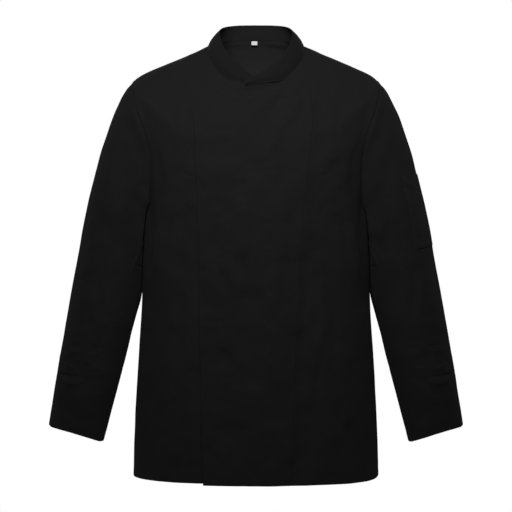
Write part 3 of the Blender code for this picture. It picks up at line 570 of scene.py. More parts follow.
LAMP_COLUMNS = ("name", "place", "aim", "size", "power")
LAMP_ROWS = (
    ("front", (-0.05, -1.05, 0.42), (0.0, 0.0, -0.10), (0.7, 0.3), 13.5),
    ("behind", (0.0, 1.3, 0.40), (0.0, 0.0, -0.20), (1.0, 0.4), 9.0),
    ("side_left", (-1.6, 0.5, 0.0), (0.0, 0.0, -0.30), (0.8, 1.4), 2.4),
    ("side_right", (1.6, 0.5, 0.0), (0.0, 0.0, -0.30), (0.8, 1.4), 2.4),
)
WORLD_LIGHT = 0.015
WORLD_SEEN = 1.0

FLOOR_Z = -1.5
FLOOR_RADIUS = 3.5
FLOOR_CORNERS = 64
FLOOR_GREY = 0.85
FLOOR_ROUGHNESS = 0.9


def table(columns, rows):
    return dict(zip(columns, np.array(rows, float).T))


def named(columns, row):
    return dict(zip(columns, row))


BODY = table(BODY_COLUMNS, BODY_ROWS)
COLLAR = table(COLLAR_COLUMNS, COLLAR_ROWS)
SLEEVE = table(SLEEVE_COLUMNS, SLEEVE_ROWS)
BRIDGE = table(BRIDGE_COLUMNS, BRIDGE_ROWS)


def read(column, row):
    """The value of a column at fractional rows, on a smooth curve through its rows."""
    last = len(column) - 1
    row = np.clip(row, 0, last)
    low = np.minimum(row.astype(int), last - 1)
    t = row - low
    padded = np.pad(column, 1, mode="reflect", reflect_type="odd")
    a, b, c, d = padded[low], padded[low + 1], padded[low + 2], padded[low + 3]
    return b + 0.5 * t * (c - a + t * (2 * a - 5 * b + 4 * c - d + t * (3 * (b - c) + d - a)))


def fade(value, start, end):
    """0 at start, 1 at end, and smooth between them."""
    t = np.clip((value - start) / (end - start), 0, 1)
    return t * t * (3 - 2 * t)


def bell(away, width):
    """1 at no distance, and smoothly down to 0 beyond the width."""
    return np.exp(-((away / width) ** 2))


def unit(vectors):
    return vectors / np.linalg.norm(vectors, axis=-1, keepdims=True)


def oval(angle, squareness):
    """How far a point of a superellipse lies to the side and ahead, each from -1 to 1."""
    sine, cosine = np.sin(angle), np.cos(angle)
    power = 2 / squareness
    return np.sign(sine) * np.abs(sine) ** power, np.sign(cosine) * np.abs(cosine) ** power


def neck_seam(angle):
    station = np.interp(-angle, -np.radians(COLLAR["angle"]), np.arange(len(COLLAR_ROWS)))
    return np.stack([read(COLLAR[name], station) for name in ("seam_x", "seam_y", "seam_z")], -1)


def plain_body(angle, row):
    at = {name: read(BODY[name], row) for name in BODY_COLUMNS}
    aside, ahead = oval(angle, at["squareness"])
    front = np.cos(angle) > 0
    end_y = np.where(front, at["front_y"], at["back_y"])
    end_z = np.where(front, at["front_z"], at["back_z"])
    drop = np.abs(np.cos(angle)) ** DROP_POWER
    return np.stack([
        at["half_width"] * aside,
        at["side_y"] + (end_y - at["side_y"]) * np.abs(ahead),
        at["side_z"] + (end_z - at["side_z"]) * drop,
    ], -1)


def body_point(angle, row):
    """The trunk's outside, bent near the neck to end on the collar's seam."""
    zero = np.zeros_like(row)
    near_neck = np.clip(1 - row / NECK_BLEND_ROWS, 0, 1) ** 2
    bend = neck_seam(angle) - plain_body(angle, zero)
    return plain_body(angle, row) + bend * near_neck[..., None]


def normals(form, angle, row):
    """Unit normals of a form, on the side where down crossed with across points."""
    step = 1e-3
    across = form(angle + step, row) - form(angle - step, row)
    down = form(angle, row + step) - form(angle, row - step)
    return unit(np.cross(down, across))


def armhole(turn):
    """Angle and section of the armhole's edge. turn is 0 at the shoulder point, pi at the
    armpit, and positive on the front."""
    reach = np.where(np.sin(turn) > 0, ARMHOLE_FRONT, ARMHOLE_BACK)
    row = SHOULDER_ROW + (ARMPIT_ROW - SHOULDER_ROW) * (1 - np.cos(turn)) / 2
    return math.pi / 2 - reach * np.sin(turn), row


def plain_sleeve(angle, row):
    at = {name: read(SLEEVE[name], row) for name in SLEEVE_COLUMNS}
    ahead, outward = oval(angle, at["squareness"])
    middle_x = (at["outer_x"] + at["inner_x"]) / 2
    middle_z = (at["outer_z"] + at["inner_z"]) / 2
    forward = at["half_depth"] * ahead
    return np.stack([
        middle_x + (at["outer_x"] - at["inner_x"]) / 2 * outward,
        at["middle_y"] - forward,
        middle_z + (at["outer_z"] - at["inner_z"]) / 2 * outward + at["lean"] * forward,
    ], -1)


def clear_of_trunk(point):
    """Points beside the trunk, pushed out where they would press into its side."""
    z = point[..., 2]
    row = np.interp(-z, -BODY["side_z"], np.arange(len(BODY_ROWS)))
    depth = np.where(point[..., 1] < 0, read(BODY["front_y"], row), read(BODY["back_y"], row))
    ahead = np.clip(point[..., 1] / depth, 0, 1)
    squareness = read(BODY["squareness"], row)
    side = read(BODY["half_width"], row) * (1 - ahead**squareness) ** (1 / squareness)
    excess = (side + SLEEVE_CLEAR - point[..., 0]) / SLEEVE_SOFT
    push = SLEEVE_SOFT * np.logaddexp(0, np.clip(excess, -40, 40))
    below = fade(z, BODY["side_z"][ARMPIT_ROW - 1], BODY["side_z"][ARMPIT_ROW])
    pushed = point.copy()
    pushed[..., 0] += push * below
    return pushed


def sleeve_point(angle, row):
    """The outside of the wearer's left sleeve, bent near the armhole to end on its edge."""
    zero = np.zeros_like(row)
    near_armhole = np.clip(1 - row / SLEEVE_BLEND_ROWS, 0, 1) ** 2
    edge_angle, edge_row = armhole(angle)
    bend = body_point(edge_angle, edge_row) - plain_sleeve(angle, zero)
    return clear_of_trunk(plain_sleeve(angle, row) + bend * near_armhole[..., None])


def collar_point(station, height):
    """A point of the collar's outside. station is negative on the wearer's right."""
    at = {name: read(COLLAR[name], np.abs(station)) for name in COLLAR_COLUMNS}
    seam = np.stack([at["seam_x"], at["seam_y"], at["seam_z"]], -1)
    top = np.stack([at["top_x"], at["top_y"], at["top_z"]], -1)
    point = seam + (top - seam) * height[..., None]
    point[..., 0] *= np.where(station < 0, -1, 1)
    return point


# ---- cloth


def noise(points, size, seed):
    """Smooth random values from -1 to 1 that change about once every size."""
    lattice = np.random.default_rng(seed).uniform(-1, 1, (NOISE_CELLS,) * 3)
    place = points / size
    low = np.floor(place).astype(int)
    t = place - low
    t = t**3 * (t * (t * 6 - 15) + 10)
    total = np.zeros(points.shape[:-1])
    for corner in np.ndindex(2, 2, 2):
        share = np.prod(np.where(corner, t, 1 - t), -1)
        cell = (low + corner) % NOISE_CELLS
        total += share * lattice[cell[..., 0], cell[..., 1], cell[..., 2]]
    return total


def waves(points, seed):
    """How far the slow unevenness of the cloth lifts these points, less round the neck."""
    lift = np.zeros(points.shape[:-1])
    for i, (size, longer, height) in enumerate(WAVE_ROWS):
        lift += height * noise(points / np.array([1, 1, longer]), size, seed + i)
    return lift * (1 - CALM * fade(points[..., 2], *CALM_ABOVE))


def along_curve(x, z, crease):
    """Distance to a crease's curve, and how far along it the nearest point is."""
    past_end = 9.0
    t = np.linspace(0, 1, CREASE_STEPS + 1)[:, None]
    ends = [np.array([crease[f"x{i}"], crease[f"z{i}"]]) for i in (1, 2, 3)]
    pull = 2 * ends[1] - (ends[0] + ends[2]) / 2
    path = (1 - t) ** 2 * ends[0] + 2 * t * (1 - t) * pull + t**2 * ends[2]
    best = np.full(x.shape, 1e9)
    along = np.zeros(x.shape)
    for i in range(CREASE_STEPS):
        run = path[i + 1] - path[i]
        from_x, from_z = x - path[i, 0], z - path[i, 1]
        share = (from_x * run[0] + from_z * run[1]) / (run @ run)
        low = -past_end if i == 0 else 0.0
        high = past_end if i == CREASE_STEPS - 1 else 1.0
        near = np.clip(share, low, high)
        away = np.hypot(from_x - near * run[0], from_z - near * run[1])
        closer = away < best
        best = np.where(closer, away, best)
        along = np.where(closer, (i + near) / CREASE_STEPS, along)
    return best, along


def crease_lift(x, z, facing, creases):
    """How far these creases lift the cloth. facing is the Y of its normals."""
    lift = np.zeros(x.shape)
    on_front, on_back = fade(facing, *CREASE_FACING_BETWEEN), fade(-facing, *CREASE_FACING_BETWEEN)
    for numbers in creases:
        crease = named(CREASE_COLUMNS, numbers)
        xs = [crease["x1"], crease["x2"], crease["x3"]]
        zs = [crease["z1"], crease["z2"], crease["z3"]]
        reach = CREASE_REACH_LENGTHS * math.hypot(xs[2] - xs[0], zs[2] - zs[0])
        reach += CREASE_REACH_WIDTHS * crease["width"]
        near = (x > min(xs) - reach) & (x < max(xs) + reach)
        near &= (z > min(zs) - reach) & (z < max(zs) + reach)
        away, along = along_curve(x[near], z[near], crease)
        ends = fade(along, *CREASE_FROM) * fade(along, *CREASE_UNTIL)
        width = crease["width"] * (CREASE_END_WIDTH + (1 - CREASE_END_WIDTH) * ends)
        sides = crease["front"] * on_front[near] + crease["back"] * on_back[near]
        lift[near] += crease["height"] * ends * sides * bell(away, width)
    return lift


def trunk_creases(points, normal):
    """How far the trunk's creases lift these points."""
    x, z, facing = points[..., 0], points[..., 2], normal[..., 1]
    paired = crease_lift(np.abs(x), z, facing, PAIRED_TRUNK_CREASES)
    return crease_lift(x, z, facing, TRUNK_CREASES) + paired


def arm_creases(points, normal, creases):
    """How far creases lift the points of either arm."""
    return crease_lift(np.abs(points[..., 0]), points[..., 2], normal[..., 1], creases)


def bridged(points):
    """Points of the trunk or a sleeve, moved to where the cloth bridges the hollow."""
    row = np.interp(-points[..., 2], -BRIDGE["z"], np.arange(len(BRIDGE_ROWS)))
    at = {name: read(BRIDGE[name], row) for name in BRIDGE_COLUMNS}
    x, y = points[..., 0], points[..., 1]
    longer = 1 + (BRIDGE_SLEEVE_REACH - 1) * fade(points[..., 2], *BRIDGE_SLEEVE_ABOVE)
    away = (np.abs(x) - at["x"]) / at["reach"]
    away = np.where(away > 0, away / longer, away)
    ahead = np.where(y < 0, 1, -BRIDGE_BACK)
    out = at["out"] * bell(away, 1) * fade(np.abs(y), *BRIDGE_Y_FROM)
    inward = at["in"] * bell(away, BRIDGE_IN_REACH) * fade(np.abs(y), *BRIDGE_IN_Y_FROM)
    moved = points.copy()
    moved[..., 0] -= inward * np.sign(x)
    moved[..., 1] -= out * ahead
    return moved


def dimple_lift(points, facing):
    lift = np.zeros(points.shape[:-1])
    for numbers in DIMPLE_ROWS:
        dimple = named(DIMPLE_COLUMNS, numbers)
        away = np.hypot(points[..., 0] - dimple["x"], points[..., 2] - dimple["z"])
        lift -= dimple["depth"] * bell(away, dimple["radius"]) * (facing < 0)
    return lift


def metres(points, axis):
    """How far each point of a grid lies from its first row (axis 0) or column (axis 1)."""
    run = np.linalg.norm(np.diff(points, axis=axis), axis=-1)
    start = np.zeros_like(np.take(run, [0], axis=axis))
    return np.concatenate([start, np.cumsum(run, axis=axis)], axis=axis)


def edge_lift(points, kinds, calm):
    """How the seams, folds and stitches at a piece's four edges lift it, and its wear."""
    down, across = metres(points, 0), metres(points, 1)
    zero = np.zeros_like(down)
    from_edge = {
        "top": (down, across), "bottom": (down[-1:] - down, across),
        "start": (across, down), "end": (across[:, -1:] - across, down),
    }
    lift, wear = np.zeros_like(down), np.zeros_like(down)
    for i, (edge, (away, along)) in enumerate(from_edge.items()):
        kind = named(EDGE_COLUMNS, EDGE_KINDS[kinds[edge]])
        shows = fade(points[..., 2], *SEAM_SHOWS_BETWEEN) if kinds[edge] == "sewn" else 1.0
        lift -= kind["dip"] * shows * bell(away, kind["reach"])
        if kind["doubled"]:
            lift += kind["rise"] * fade(away, kind["doubled"] + DOUBLED_EDGE, kind["doubled"])
            wear = np.maximum(wear, bell(away, DOUBLED_EDGE))
        place = np.stack([along, away / PUCKER_LONGER, zero], -1)
        ripple = noise(place, PUCKER_PITCH, kinds["seed"] + PUCKER_SEED_STEP * (i // 2))
        lift += kind["pucker"] * calm * ripple * np.exp(-away / kind["pucker_reach"])
    for edge, inset in kinds["stitches"]:
        lift -= GROOVE_DEPTH * bell(from_edge[edge][0] - inset, GROOVE_HALF_WIDTH)
    return lift, wear


def spread(stops, steps):
    """Angles of a panel's columns, by row. Each stretch between stops has its own shares
    of the way."""
    parts = [start + (end - start) * share for start, end, share in zip(stops, stops[1:], steps)]
    return np.concatenate([*parts, stops[-1]], 1)


def shares(length, step, start_edge=False, end_edge=False):
    """Shares of the way along a stretch of this length, crowded at its open edges."""
    even = np.arange(0, length - step / 2, step) / length
    near = np.array(EDGE_STEPS) / length
    spare = EDGE_SPARE * step / length
    if start_edge:
        even = np.concatenate([near, even[even > near[-1] + spare]])
    if end_edge:
        late = 1 - near[:0:-1]
        even = np.concatenate([even[even < late[0] - spare], late])
    return even


def front_steps(lengths, grids):
    """Shares of the way along a front's stretches, which end at the middle, at the other
    front's edge and at the side."""
    edges = ((True, False), (False, True), (True, True))
    return [shares(length, grid, *ends) for length, grid, ends in zip(lengths, grids, edges)]


def placed(name, data):
    """A new object of the scene."""
    made = bpy.data.objects.new(name, data)
    bpy.context.scene.collection.objects.link(made)
    return made


def make_mesh(name, points, faces, uv, wear, inside, cloth):
    mesh = bpy.data.meshes.new(name)
    mesh.vertices.add(len(points))
    mesh.vertices.foreach_set("co", np.ascontiguousarray(points, np.float32).ravel())
    mesh.loops.add(faces.size)
    mesh.loops.foreach_set("vertex_index", faces.astype(np.int32).ravel())
    mesh.polygons.add(len(faces))
    starts = np.arange(0, faces.size, faces.shape[1], dtype=np.int32)
    mesh.polygons.foreach_set("loop_start", starts)
    mesh.update(calc_edges=True)
    layer = mesh.uv_layers.new(name="cloth")
    layer.data.foreach_set("uv", uv[faces.ravel()].astype(np.float32).ravel())
    for attribute, values in (("wear", wear), ("inside", inside)):
        layer = mesh.attributes.new(attribute, "FLOAT", "POINT")
        layer.data.foreach_set("value", values.astype(np.float32).ravel())
    mesh.shade_smooth()
    mesh.set_sharp_from_angle(angle=SHARP_ANGLE)
    mesh.materials.append(cloth)
    piece = placed(name, mesh)
    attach(piece, "root")
    return piece


def cloth_piece(name, outer, thickness, normal, wear, cloth):
    """A shell between a grid of points and the same grid moved in, with rounded edges."""
    inner = outer - normal * thickness
    rows, columns = outer.shape[:2]
    u, v = metres(outer, 1), metres(outer, 0)
    count = rows * columns
    index = np.arange(count).reshape(rows, columns)
    a, b = index[:-1, :-1], index[1:, :-1]
    c, d = index[1:, 1:], index[:-1, 1:]
    top = np.stack([a, b, c, d], -1).reshape(-1, 4)
    facing = np.cross(outer[1:, :-1] - outer[:-1, :-1], outer[:-1, 1:] - outer[:-1, :-1])
    outward_first = (facing * normal[:-1, :-1]).sum() > 0
    if not outward_first:
        top = top[:, ::-1]
    edge = np.concatenate([
        index[0, :-1], index[:-1, -1], index[-1, :0:-1], index[:0:-1, 0],
    ])
    next_in = np.concatenate([
        index[1, :-1], index[:-1, -2], index[-2, :0:-1], index[:0:-1, 1],
    ])
    flat = outer.reshape(-1, 3)
    outward = unit(flat[edge] - flat[next_in])
    middle = (flat[edge] + inner.reshape(-1, 3)[edge]) / 2 + outward * thickness / 2
    ring = 2 * count + np.arange(len(edge))
    after = np.roll(np.arange(len(edge)), -1)
    over = np.stack([edge, ring, ring[after], edge[after]], -1)
    under = np.stack([ring, edge + count, edge[after] + count, ring[after]], -1)
    if outward_first:
        over, under = over[:, ::-1], under[:, ::-1]
    faces = np.concatenate([top, top[:, ::-1] + count, over, under])
    uv = np.stack([u, v], -1).reshape(-1, 2)
    wear = wear.ravel()
    return make_mesh(
        name,
        np.concatenate([flat, inner.reshape(-1, 3), middle]),
        faces,
        np.concatenate([uv, uv, uv[edge]]),
        np.concatenate([wear, wear, wear[edge]]),
        np.concatenate([np.zeros(count), np.ones(count), np.zeros(len(edge))]),
        cloth,
    )


def inset_line(outer, normal, edge, inset):
    """Points and normals of the line that lies so far inside one of a grid's edges."""
    if edge in ("start", "end"):
        outer, normal = outer.swapaxes(0, 1), normal.swapaxes(0, 1)
    if edge in ("bottom", "end"):
        outer, normal = outer[::-1], normal[::-1]
    down = metres(outer, 0)
    column = np.arange(outer.shape[1])
    row = np.array([np.interp(inset, down[:, j], np.arange(len(down))) for j in column])
    low = np.minimum(row.astype(int), len(down) - 2)
    share = (row - low)[:, None]
    return [grid[low, column] * (1 - share) + grid[low + 1, column] * share
            for grid in (outer, normal)]


def stitch_row(line, facing):
    """Corners of one row of stitches, end to end along a line."""
    along = metres(line[:, None], 0)[:, 0]
    middle = np.arange(STITCH_PITCH, along[-1] - STITCH_PITCH / 2, STITCH_PITCH)
    centre = np.stack([np.interp(middle, along, line[:, i]) for i in range(3)], -1)
    ahead = [np.interp(middle + STITCH_AHEAD, along, line[:, i]) for i in range(3)]
    up = unit(np.stack([np.interp(middle, along, facing[:, i]) for i in range(3)], -1))
    forward = unit(np.stack(ahead, -1) - centre)
    aside = np.cross(up, forward)
    long, wide, high = (np.array(STITCH_CORNERS) * (STITCH_LENGTH, STITCH_WIDTH, STITCH_HEIGHT)).T
    return (
        centre[:, None] + long[:, None] * forward[:, None]
        + wide[:, None] * aside[:, None] + high[:, None] * up[:, None]
    )


def make_stitches(name, outer, normal, rows, thread):
    """All the rows of stitches of a piece as one mesh."""
    corners = np.concatenate([stitch_row(*inset_line(outer, normal, *row)) for row in rows])
    first = np.arange(len(corners))[:, None, None] * len(STITCH_CORNERS)
    triangles = (np.array(STITCH_TRIANGLES)[None] + first).reshape(-1, 3)
    points = corners.reshape(-1, 3)
    plain = np.zeros(len(points))
    return make_mesh(name, points, triangles, points[:, [0, 2]], plain, plain, thread)


def sew(node, piece, points, normal, extra, cloth, thread):
    """A piece of cloth with its edges and stitches, in place of its solid, which is hidden."""
    kinds = named(PIECE_COLUMNS, PIECES[piece])
    calm = 1 - SIDE_CALM * normal[..., 0] ** 2
    edges, wear = edge_lift(points, kinds, calm)
    lift = extra + edges + waves(points, WAVE_SEED) * calm
    outer = bridged(points + normal * lift[..., None])
    made = cloth_piece(f"{node}_cloth", outer, kinds["thickness"], normal, wear, cloth)
    if kinds["stitches"]:
        stitches = make_stitches(f"{node}_stitches", outer, normal, kinds["stitches"], thread)
    declare(node, points)


def declare(node, points):
    """Hides the solid that a piece stands for. The area of its grid is worked out but not used."""
    side_a, side_b = points[1:, :-1] - points[:-1, :-1], points[:-1, 1:] - points[:-1, :-1]
    side_c, side_d = points[1:, :-1] - points[1:, 1:], points[:-1, 1:] - points[1:, 1:]
    area = np.linalg.norm(np.cross(side_a, side_b), axis=-1).sum() / 2
    area += np.linalg.norm(np.cross(side_c, side_d), axis=-1).sum() / 2
    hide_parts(node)


# ---- materials


class Wiring:
    """A material's nodes, linked by the names of what they do."""

    def __init__(self, name):
        self.made = bpy.data.materials.new(name)
        self.made.use_nodes = True
        self.nodes, self.links = self.made.node_tree.nodes, self.made.node_tree.links

    def add(self, kind, **inputs):
        """A node with these inputs, each a value or a socket."""
        node = self.nodes.new(kind)
        for label, value in inputs.items():
            self.feed(node.inputs[label.replace("_", " ")], value)
        return node

    def feed(self, entry, value):
        if isinstance(value, bpy.types.NodeSocket):
            self.links.new(value, entry)
        else:
            entry.default_value = value

    def maths(self, operation, first, second):
        node = self.nodes.new("ShaderNodeMath")
        node.operation = operation
        self.feed(node.inputs[0], first)
        self.feed(node.inputs[1], second)
        return node.outputs[0]

    def attribute(self, name):
        node = self.nodes.new("ShaderNodeAttribute")
        node.attribute_name = name
        return node.outputs["Fac"]


def woven(name):
    """Cloth of one grey with slanted ribs, uneven colour, paler worn edges, and a paler inside that
    is painted light.
    """
    fabric = named(FABRIC_COLUMNS, FABRICS[name])
    wiring = Wiring(name)
    maths = wiring.maths
    flat = wiring.add("ShaderNodeUVMap")
    flat.uv_map = "cloth"
    flat = flat.outputs["UV"]
    turned = wiring.add("ShaderNodeMapping", Vector=flat, Rotation=(0, 0, fabric["turn"]))
    ribs = wiring.add(
        "ShaderNodeTexWave", Vector=turned.outputs["Vector"], Distortion=RIB_DISTORTION,
        Scale=math.tau / (WAVES_PER_TURN * fabric["pitch"]), Detail=RIB_DETAIL,
        Detail_Scale=RIB_DETAIL_SCALE,
    ).outputs["Fac"]
    yarn = wiring.add(
        "ShaderNodeTexNoise", Vector=flat, Scale=YARN_SCALE / fabric["pitch"], Detail=YARN_DETAIL,
    ).outputs["Fac"]
    drift = wiring.add(
        "ShaderNodeTexNoise", Vector=flat, Scale=DRIFT_SCALE, Detail=DRIFT_DETAIL,
    ).outputs["Fac"]
    height = maths("ADD", ribs, maths("MULTIPLY", yarn, YARN_RELIEF))
    bump = wiring.add("ShaderNodeBump", Height=height, Strength=1.0, Distance=fabric["relief"])

    uneven = fabric["variation"]
    shade = maths("MULTIPLY", maths("SUBTRACT", yarn, 0.5), uneven * YARN_SHADE)
    shade = maths("ADD", shade, 1.0)
    clouded = maths("MULTIPLY", maths("SUBTRACT", drift, 0.5), uneven * DRIFT_SHADE)
    shade = maths("ADD", shade, clouded)
    worn = maths("MULTIPLY", wiring.attribute("wear"), maths("MULTIPLY", yarn, YARN_WORN))
    shade = maths("ADD", shade, worn)
    # The inside faces of the back and the collar are painted paler: painted light, where the lamps
    # hardly reach into the neck.
    painted_inside_light = maths("MULTIPLY", wiring.attribute("inside"), fabric["painted_light_inside"])
    shade = maths("MULTIPLY", shade, maths("ADD", painted_inside_light, 1.0))
    grey = maths("MULTIPLY", shade, fabric["grey"])
    colour = wiring.add("ShaderNodeCombineColor", Red=grey, Green=grey, Blue=grey)
    surface = {
        "Base Color": colour.outputs["Color"], "Normal": bump.outputs["Normal"],
        "Roughness": fabric["roughness"], "Specular IOR Level": SPECULAR,
        "Sheen Weight": fabric["sheen"], "Sheen Roughness": SHEEN_ROUGHNESS,
    }
    for label, value in surface.items():
        wiring.feed(wiring.nodes["Principled BSDF"].inputs[label], value)
    return wiring.made


# ---- pieces


def panel_rows():
    """Sections of the trunk's grid, closest beside the armhole's ends and at the hem."""
    neck = np.arange(0, SHOULDER_ROW, NECK_STEP)[1:]
    beside = armhole(np.linspace(0, math.pi, ARMHOLE_ROWS))[1]
    below = np.linspace(ARMPIT_ROW, HEM_ROW, LOWER_ROWS)[1:-1]
    return np.concatenate([NECK_FIRST, neck, beside, below, [HEM_ROW - HEM_LAST, HEM_ROW]])


def sleeve_rows():
    """Sections of the sleeve's grid, closest at both of its ends."""
    head = np.arange(*SLEEVE_HEAD, SLEEVE_HEAD_STEP)
    lower = np.linspace(SLEEVE_HEAD[1], CUFF_ROW, SLEEVE_LOWER_ROWS)[:-1]
    return np.concatenate([SLEEVE_FIRST, head, lower, CUFF_ROW - np.array(SLEEVE_LAST)])


def cuff_rows():
    """Sections of the cuff's grid, closest at both of its ends."""
    first, last = CUFF_ROW + np.array(CUFF_FIRST), SLEEVE_END - np.array(CUFF_LAST)
    even = np.linspace(CUFF_ROW + CUFF_EVEN[0], SLEEVE_END - CUFF_EVEN[1], CUFF_ROWS)
    return np.concatenate([first, even, last])


def side_edge(row, reach):
    """Angle of a panel's side edge: the shoulder seam, the armhole, then the side seam."""
    t = np.clip((row - SHOULDER_ROW) / (ARMPIT_ROW - SHOULDER_ROW), 0, 1)
    return math.pi / 2 - reach * np.sin(np.arccos(1 - 2 * t))


def lap_edge(row, lap_x):
    """Angle, past the centre, of a front's free edge."""
    neck_part = NECK_CORNER_X + (lap_x[0] - NECK_CORNER_X) * row / BREAST_ROW
    long_part = lap_x[0] + (lap_x[1] - lap_x[0]) * (row - BREAST_ROW) / (HEM_ROW - BREAST_ROW)
    x = np.where(row < BREAST_ROW, neck_part, long_part)
    return np.arcsin((x / read(BODY["half_width"], row)) ** (read(BODY["squareness"], row) / 2))


def pressed_line(row):
    """Angle of the line where the underlap's edge shows through, straight up to the neck."""
    x = UNDERLAP_X[0] + (UNDERLAP_X[1] - UNDERLAP_X[0]) * (row - BREAST_ROW) / (HEM_ROW - BREAST_ROW)
    share = np.minimum(x / read(BODY["half_width"], row), PRESSED_LIMIT)
    return np.arcsin(share ** (read(BODY["squareness"], row) / 2))


def mirrored(points):
    return points * np.array([-1.0, 1.0, 1.0])


def on_body(stops, steps):
    """Angles, sections, points and normals of a panel's grid."""
    angle = spread(stops, steps)
    row = np.broadcast_to(panel_rows()[:, None], angle.shape)
    facing = normals(body_point, angle, np.maximum(row, BELOW_SEAM))
    return angle, row, body_point(angle, row), facing


def shoulder_dent(angle, row):
    """Rounds the trunk off beside the shoulder point."""
    along = bell(row - SHOULDER_ROW + SHOULDER_DENT_ABOVE, SHOULDER_DENT_ROWS)
    return SHOULDER_DENT * along * bell(np.cos(angle), SHOULDER_DENT_WIDTH)


def make_front_left(cloth, thread):
    row = panel_rows()[:, None]
    line = pressed_line(row)
    stops = (-lap_edge(row, OVERLAP_X), np.zeros_like(row), line, side_edge(row, ARMHOLE_FRONT))
    steps = front_steps(FRONT_LEFT_LENGTHS, FRONT_LEFT_GRIDS)
    angle, row, points, normal = on_body(stops, steps)
    longer = fade(row, ARMPIT_ROW, HEM_ROW) * fade(angle, *LONGER_BETWEEN)
    points[..., 2] -= longer * LEFT_FRONT_LONGER
    past = (angle - line) * read(BODY["half_width"], row)
    shows = fade(row, *PRESSED_BETWEEN)
    rise = LAYER_TOP + (LAYER_RISE - LAYER_TOP) * fade(row, *LAYER_BETWEEN)
    extra = (rise - LAYER_STEP * shows) * fade(past, LAYER_FADE, 0)
    extra += LAYER_STEP * shows * fade(past, *UNDERLAP_EDGE_BETWEEN)
    extra += UNDERLAP_RIDGE * shows * bell(past + UNDERLAP_RIDGE_IN, UNDERLAP_RIDGE_WIDTH)
    extra += trunk_creases(points, normal) + dimple_lift(points, normal[..., 1])
    extra -= shoulder_dent(angle, row)
    sew("front_left", "front_left", points, normal, extra, cloth, thread)


def make_front_right(cloth, thread):
    row = panel_rows()[:, None]
    over = lap_edge(row, OVERLAP_X)
    stops = (-lap_edge(row, UNDERLAP_X), np.zeros_like(row), over, side_edge(row, ARMHOLE_FRONT))
    steps = front_steps(FRONT_RIGHT_LENGTHS, FRONT_RIGHT_GRIDS)
    angle, row, points, normal = on_body(stops, steps)
    points, normal = mirrored(points), mirrored(normal)
    past = (angle - over) * read(BODY["half_width"], row)
    extra = trunk_creases(points, normal) - shoulder_dent(angle, row)
    extra -= TUCK_DEPTH * fade(row, *LAYER_BETWEEN) * bell(past, TUCK_WIDTH)
    sew("front_right", "front_right", points, normal, extra, cloth, thread)


def make_back(cloth, thread):
    row = panel_rows()[:, None]
    stops = (math.pi - side_edge(row, ARMHOLE_BACK), np.full_like(row, math.pi))
    steps = (shares(BACK_LENGTH, BACK_GRID, start_edge=True),)
    angle, row, points, normal = on_body(stops, steps)
    dent = shoulder_dent(angle, row)
    points = np.concatenate([points, mirrored(points[:, -2::-1])], 1)
    normal = np.concatenate([normal, mirrored(normal[:, -2::-1])], 1)
    extra = trunk_creases(points, normal) - np.hstack([dent, dent[:, -2::-1]])
    sew("back", "back", points, normal, extra, cloth, thread)


def make_collar(cloth, thread):
    station = np.linspace(-COLLAR_END, COLLAR_END, COLLAR_STATIONS)[None, :]
    even = np.linspace(*COLLAR_EVEN, COLLAR_HEIGHTS)
    inset = np.array(COLLAR_EDGE_HEIGHTS)
    height = np.concatenate([inset, even, 1 - inset[::-1]])[:, None]
    station, height = np.broadcast_arrays(station, height)
    points, normal = collar_point(station, height), normals(collar_point, station, height)
    extra = COLLAR_RISE * fade(station, *COLLAR_RISE_BETWEEN)
    extra -= COLLAR_SINK * fade(-station, *COLLAR_SINK_BETWEEN)
    bulge = COLLAR_BULGE * fade(np.abs(station), *COLLAR_BULGE_BETWEEN)
    extra += bulge * fade(height, *COLLAR_BULGE_FROM) * fade(height, *COLLAR_BULGE_UNTIL)
    behind = COLLAR_BACK_OUT * fade(np.abs(station), *COLLAR_BACK_BETWEEN)
    extra += behind * fade(height, *COLLAR_BACK_UNTIL)
    sew("collar", "collar", points, normal, extra, cloth, thread)


def make_tube(node, part, rows, proud, cloth, thread):
    """A sleeve or a cuff, all round the arm, with its seam on the inner side."""
    turn, row = np.meshgrid(np.linspace(math.pi, -math.pi, TUBE_COLUMNS), rows)
    beside = (np.abs(np.cos(turn)) - CUFF_CORNER_START) / (1 - CUFF_CORNER_START)
    shorter = CUFF_CORNER_ROWS * np.clip(beside, 0, 1) ** 2
    row = row - shorter * fade(row, SLEEVE_END - 1, SLEEVE_END)
    points, normal = sleeve_point(turn, row), -normals(sleeve_point, turn, row)
    if node.endswith("right"):
        points, normal = mirrored(points), mirrored(normal)
    extra = proud + arm_creases(points, normal, SLEEVE_CREASES + CUFF_CREASES)
    head = HEAD_LIFT * fade(row, *HEAD_FROM) * fade(row, *HEAD_UNTIL)
    extra += head * fade(np.cos(turn), *HEAD_OUTSIDE_FROM)
    if part == "sleeve":
        above = points[:1] + unit(points[:1] - points[1:2]) * UNDER_REACH
        below = points[-1:] + unit(points[-1:] - points[-2:-1]) * UNDER_REACH
        points = np.concatenate([above, points, below])
        normal = np.concatenate([normal[:1], normal, normal[-1:]])
        extra = np.pad(extra, ((1, 1), (0, 0)), constant_values=-UNDER_DEPTH)
    sew(node, part, points, normal, extra, cloth, thread)


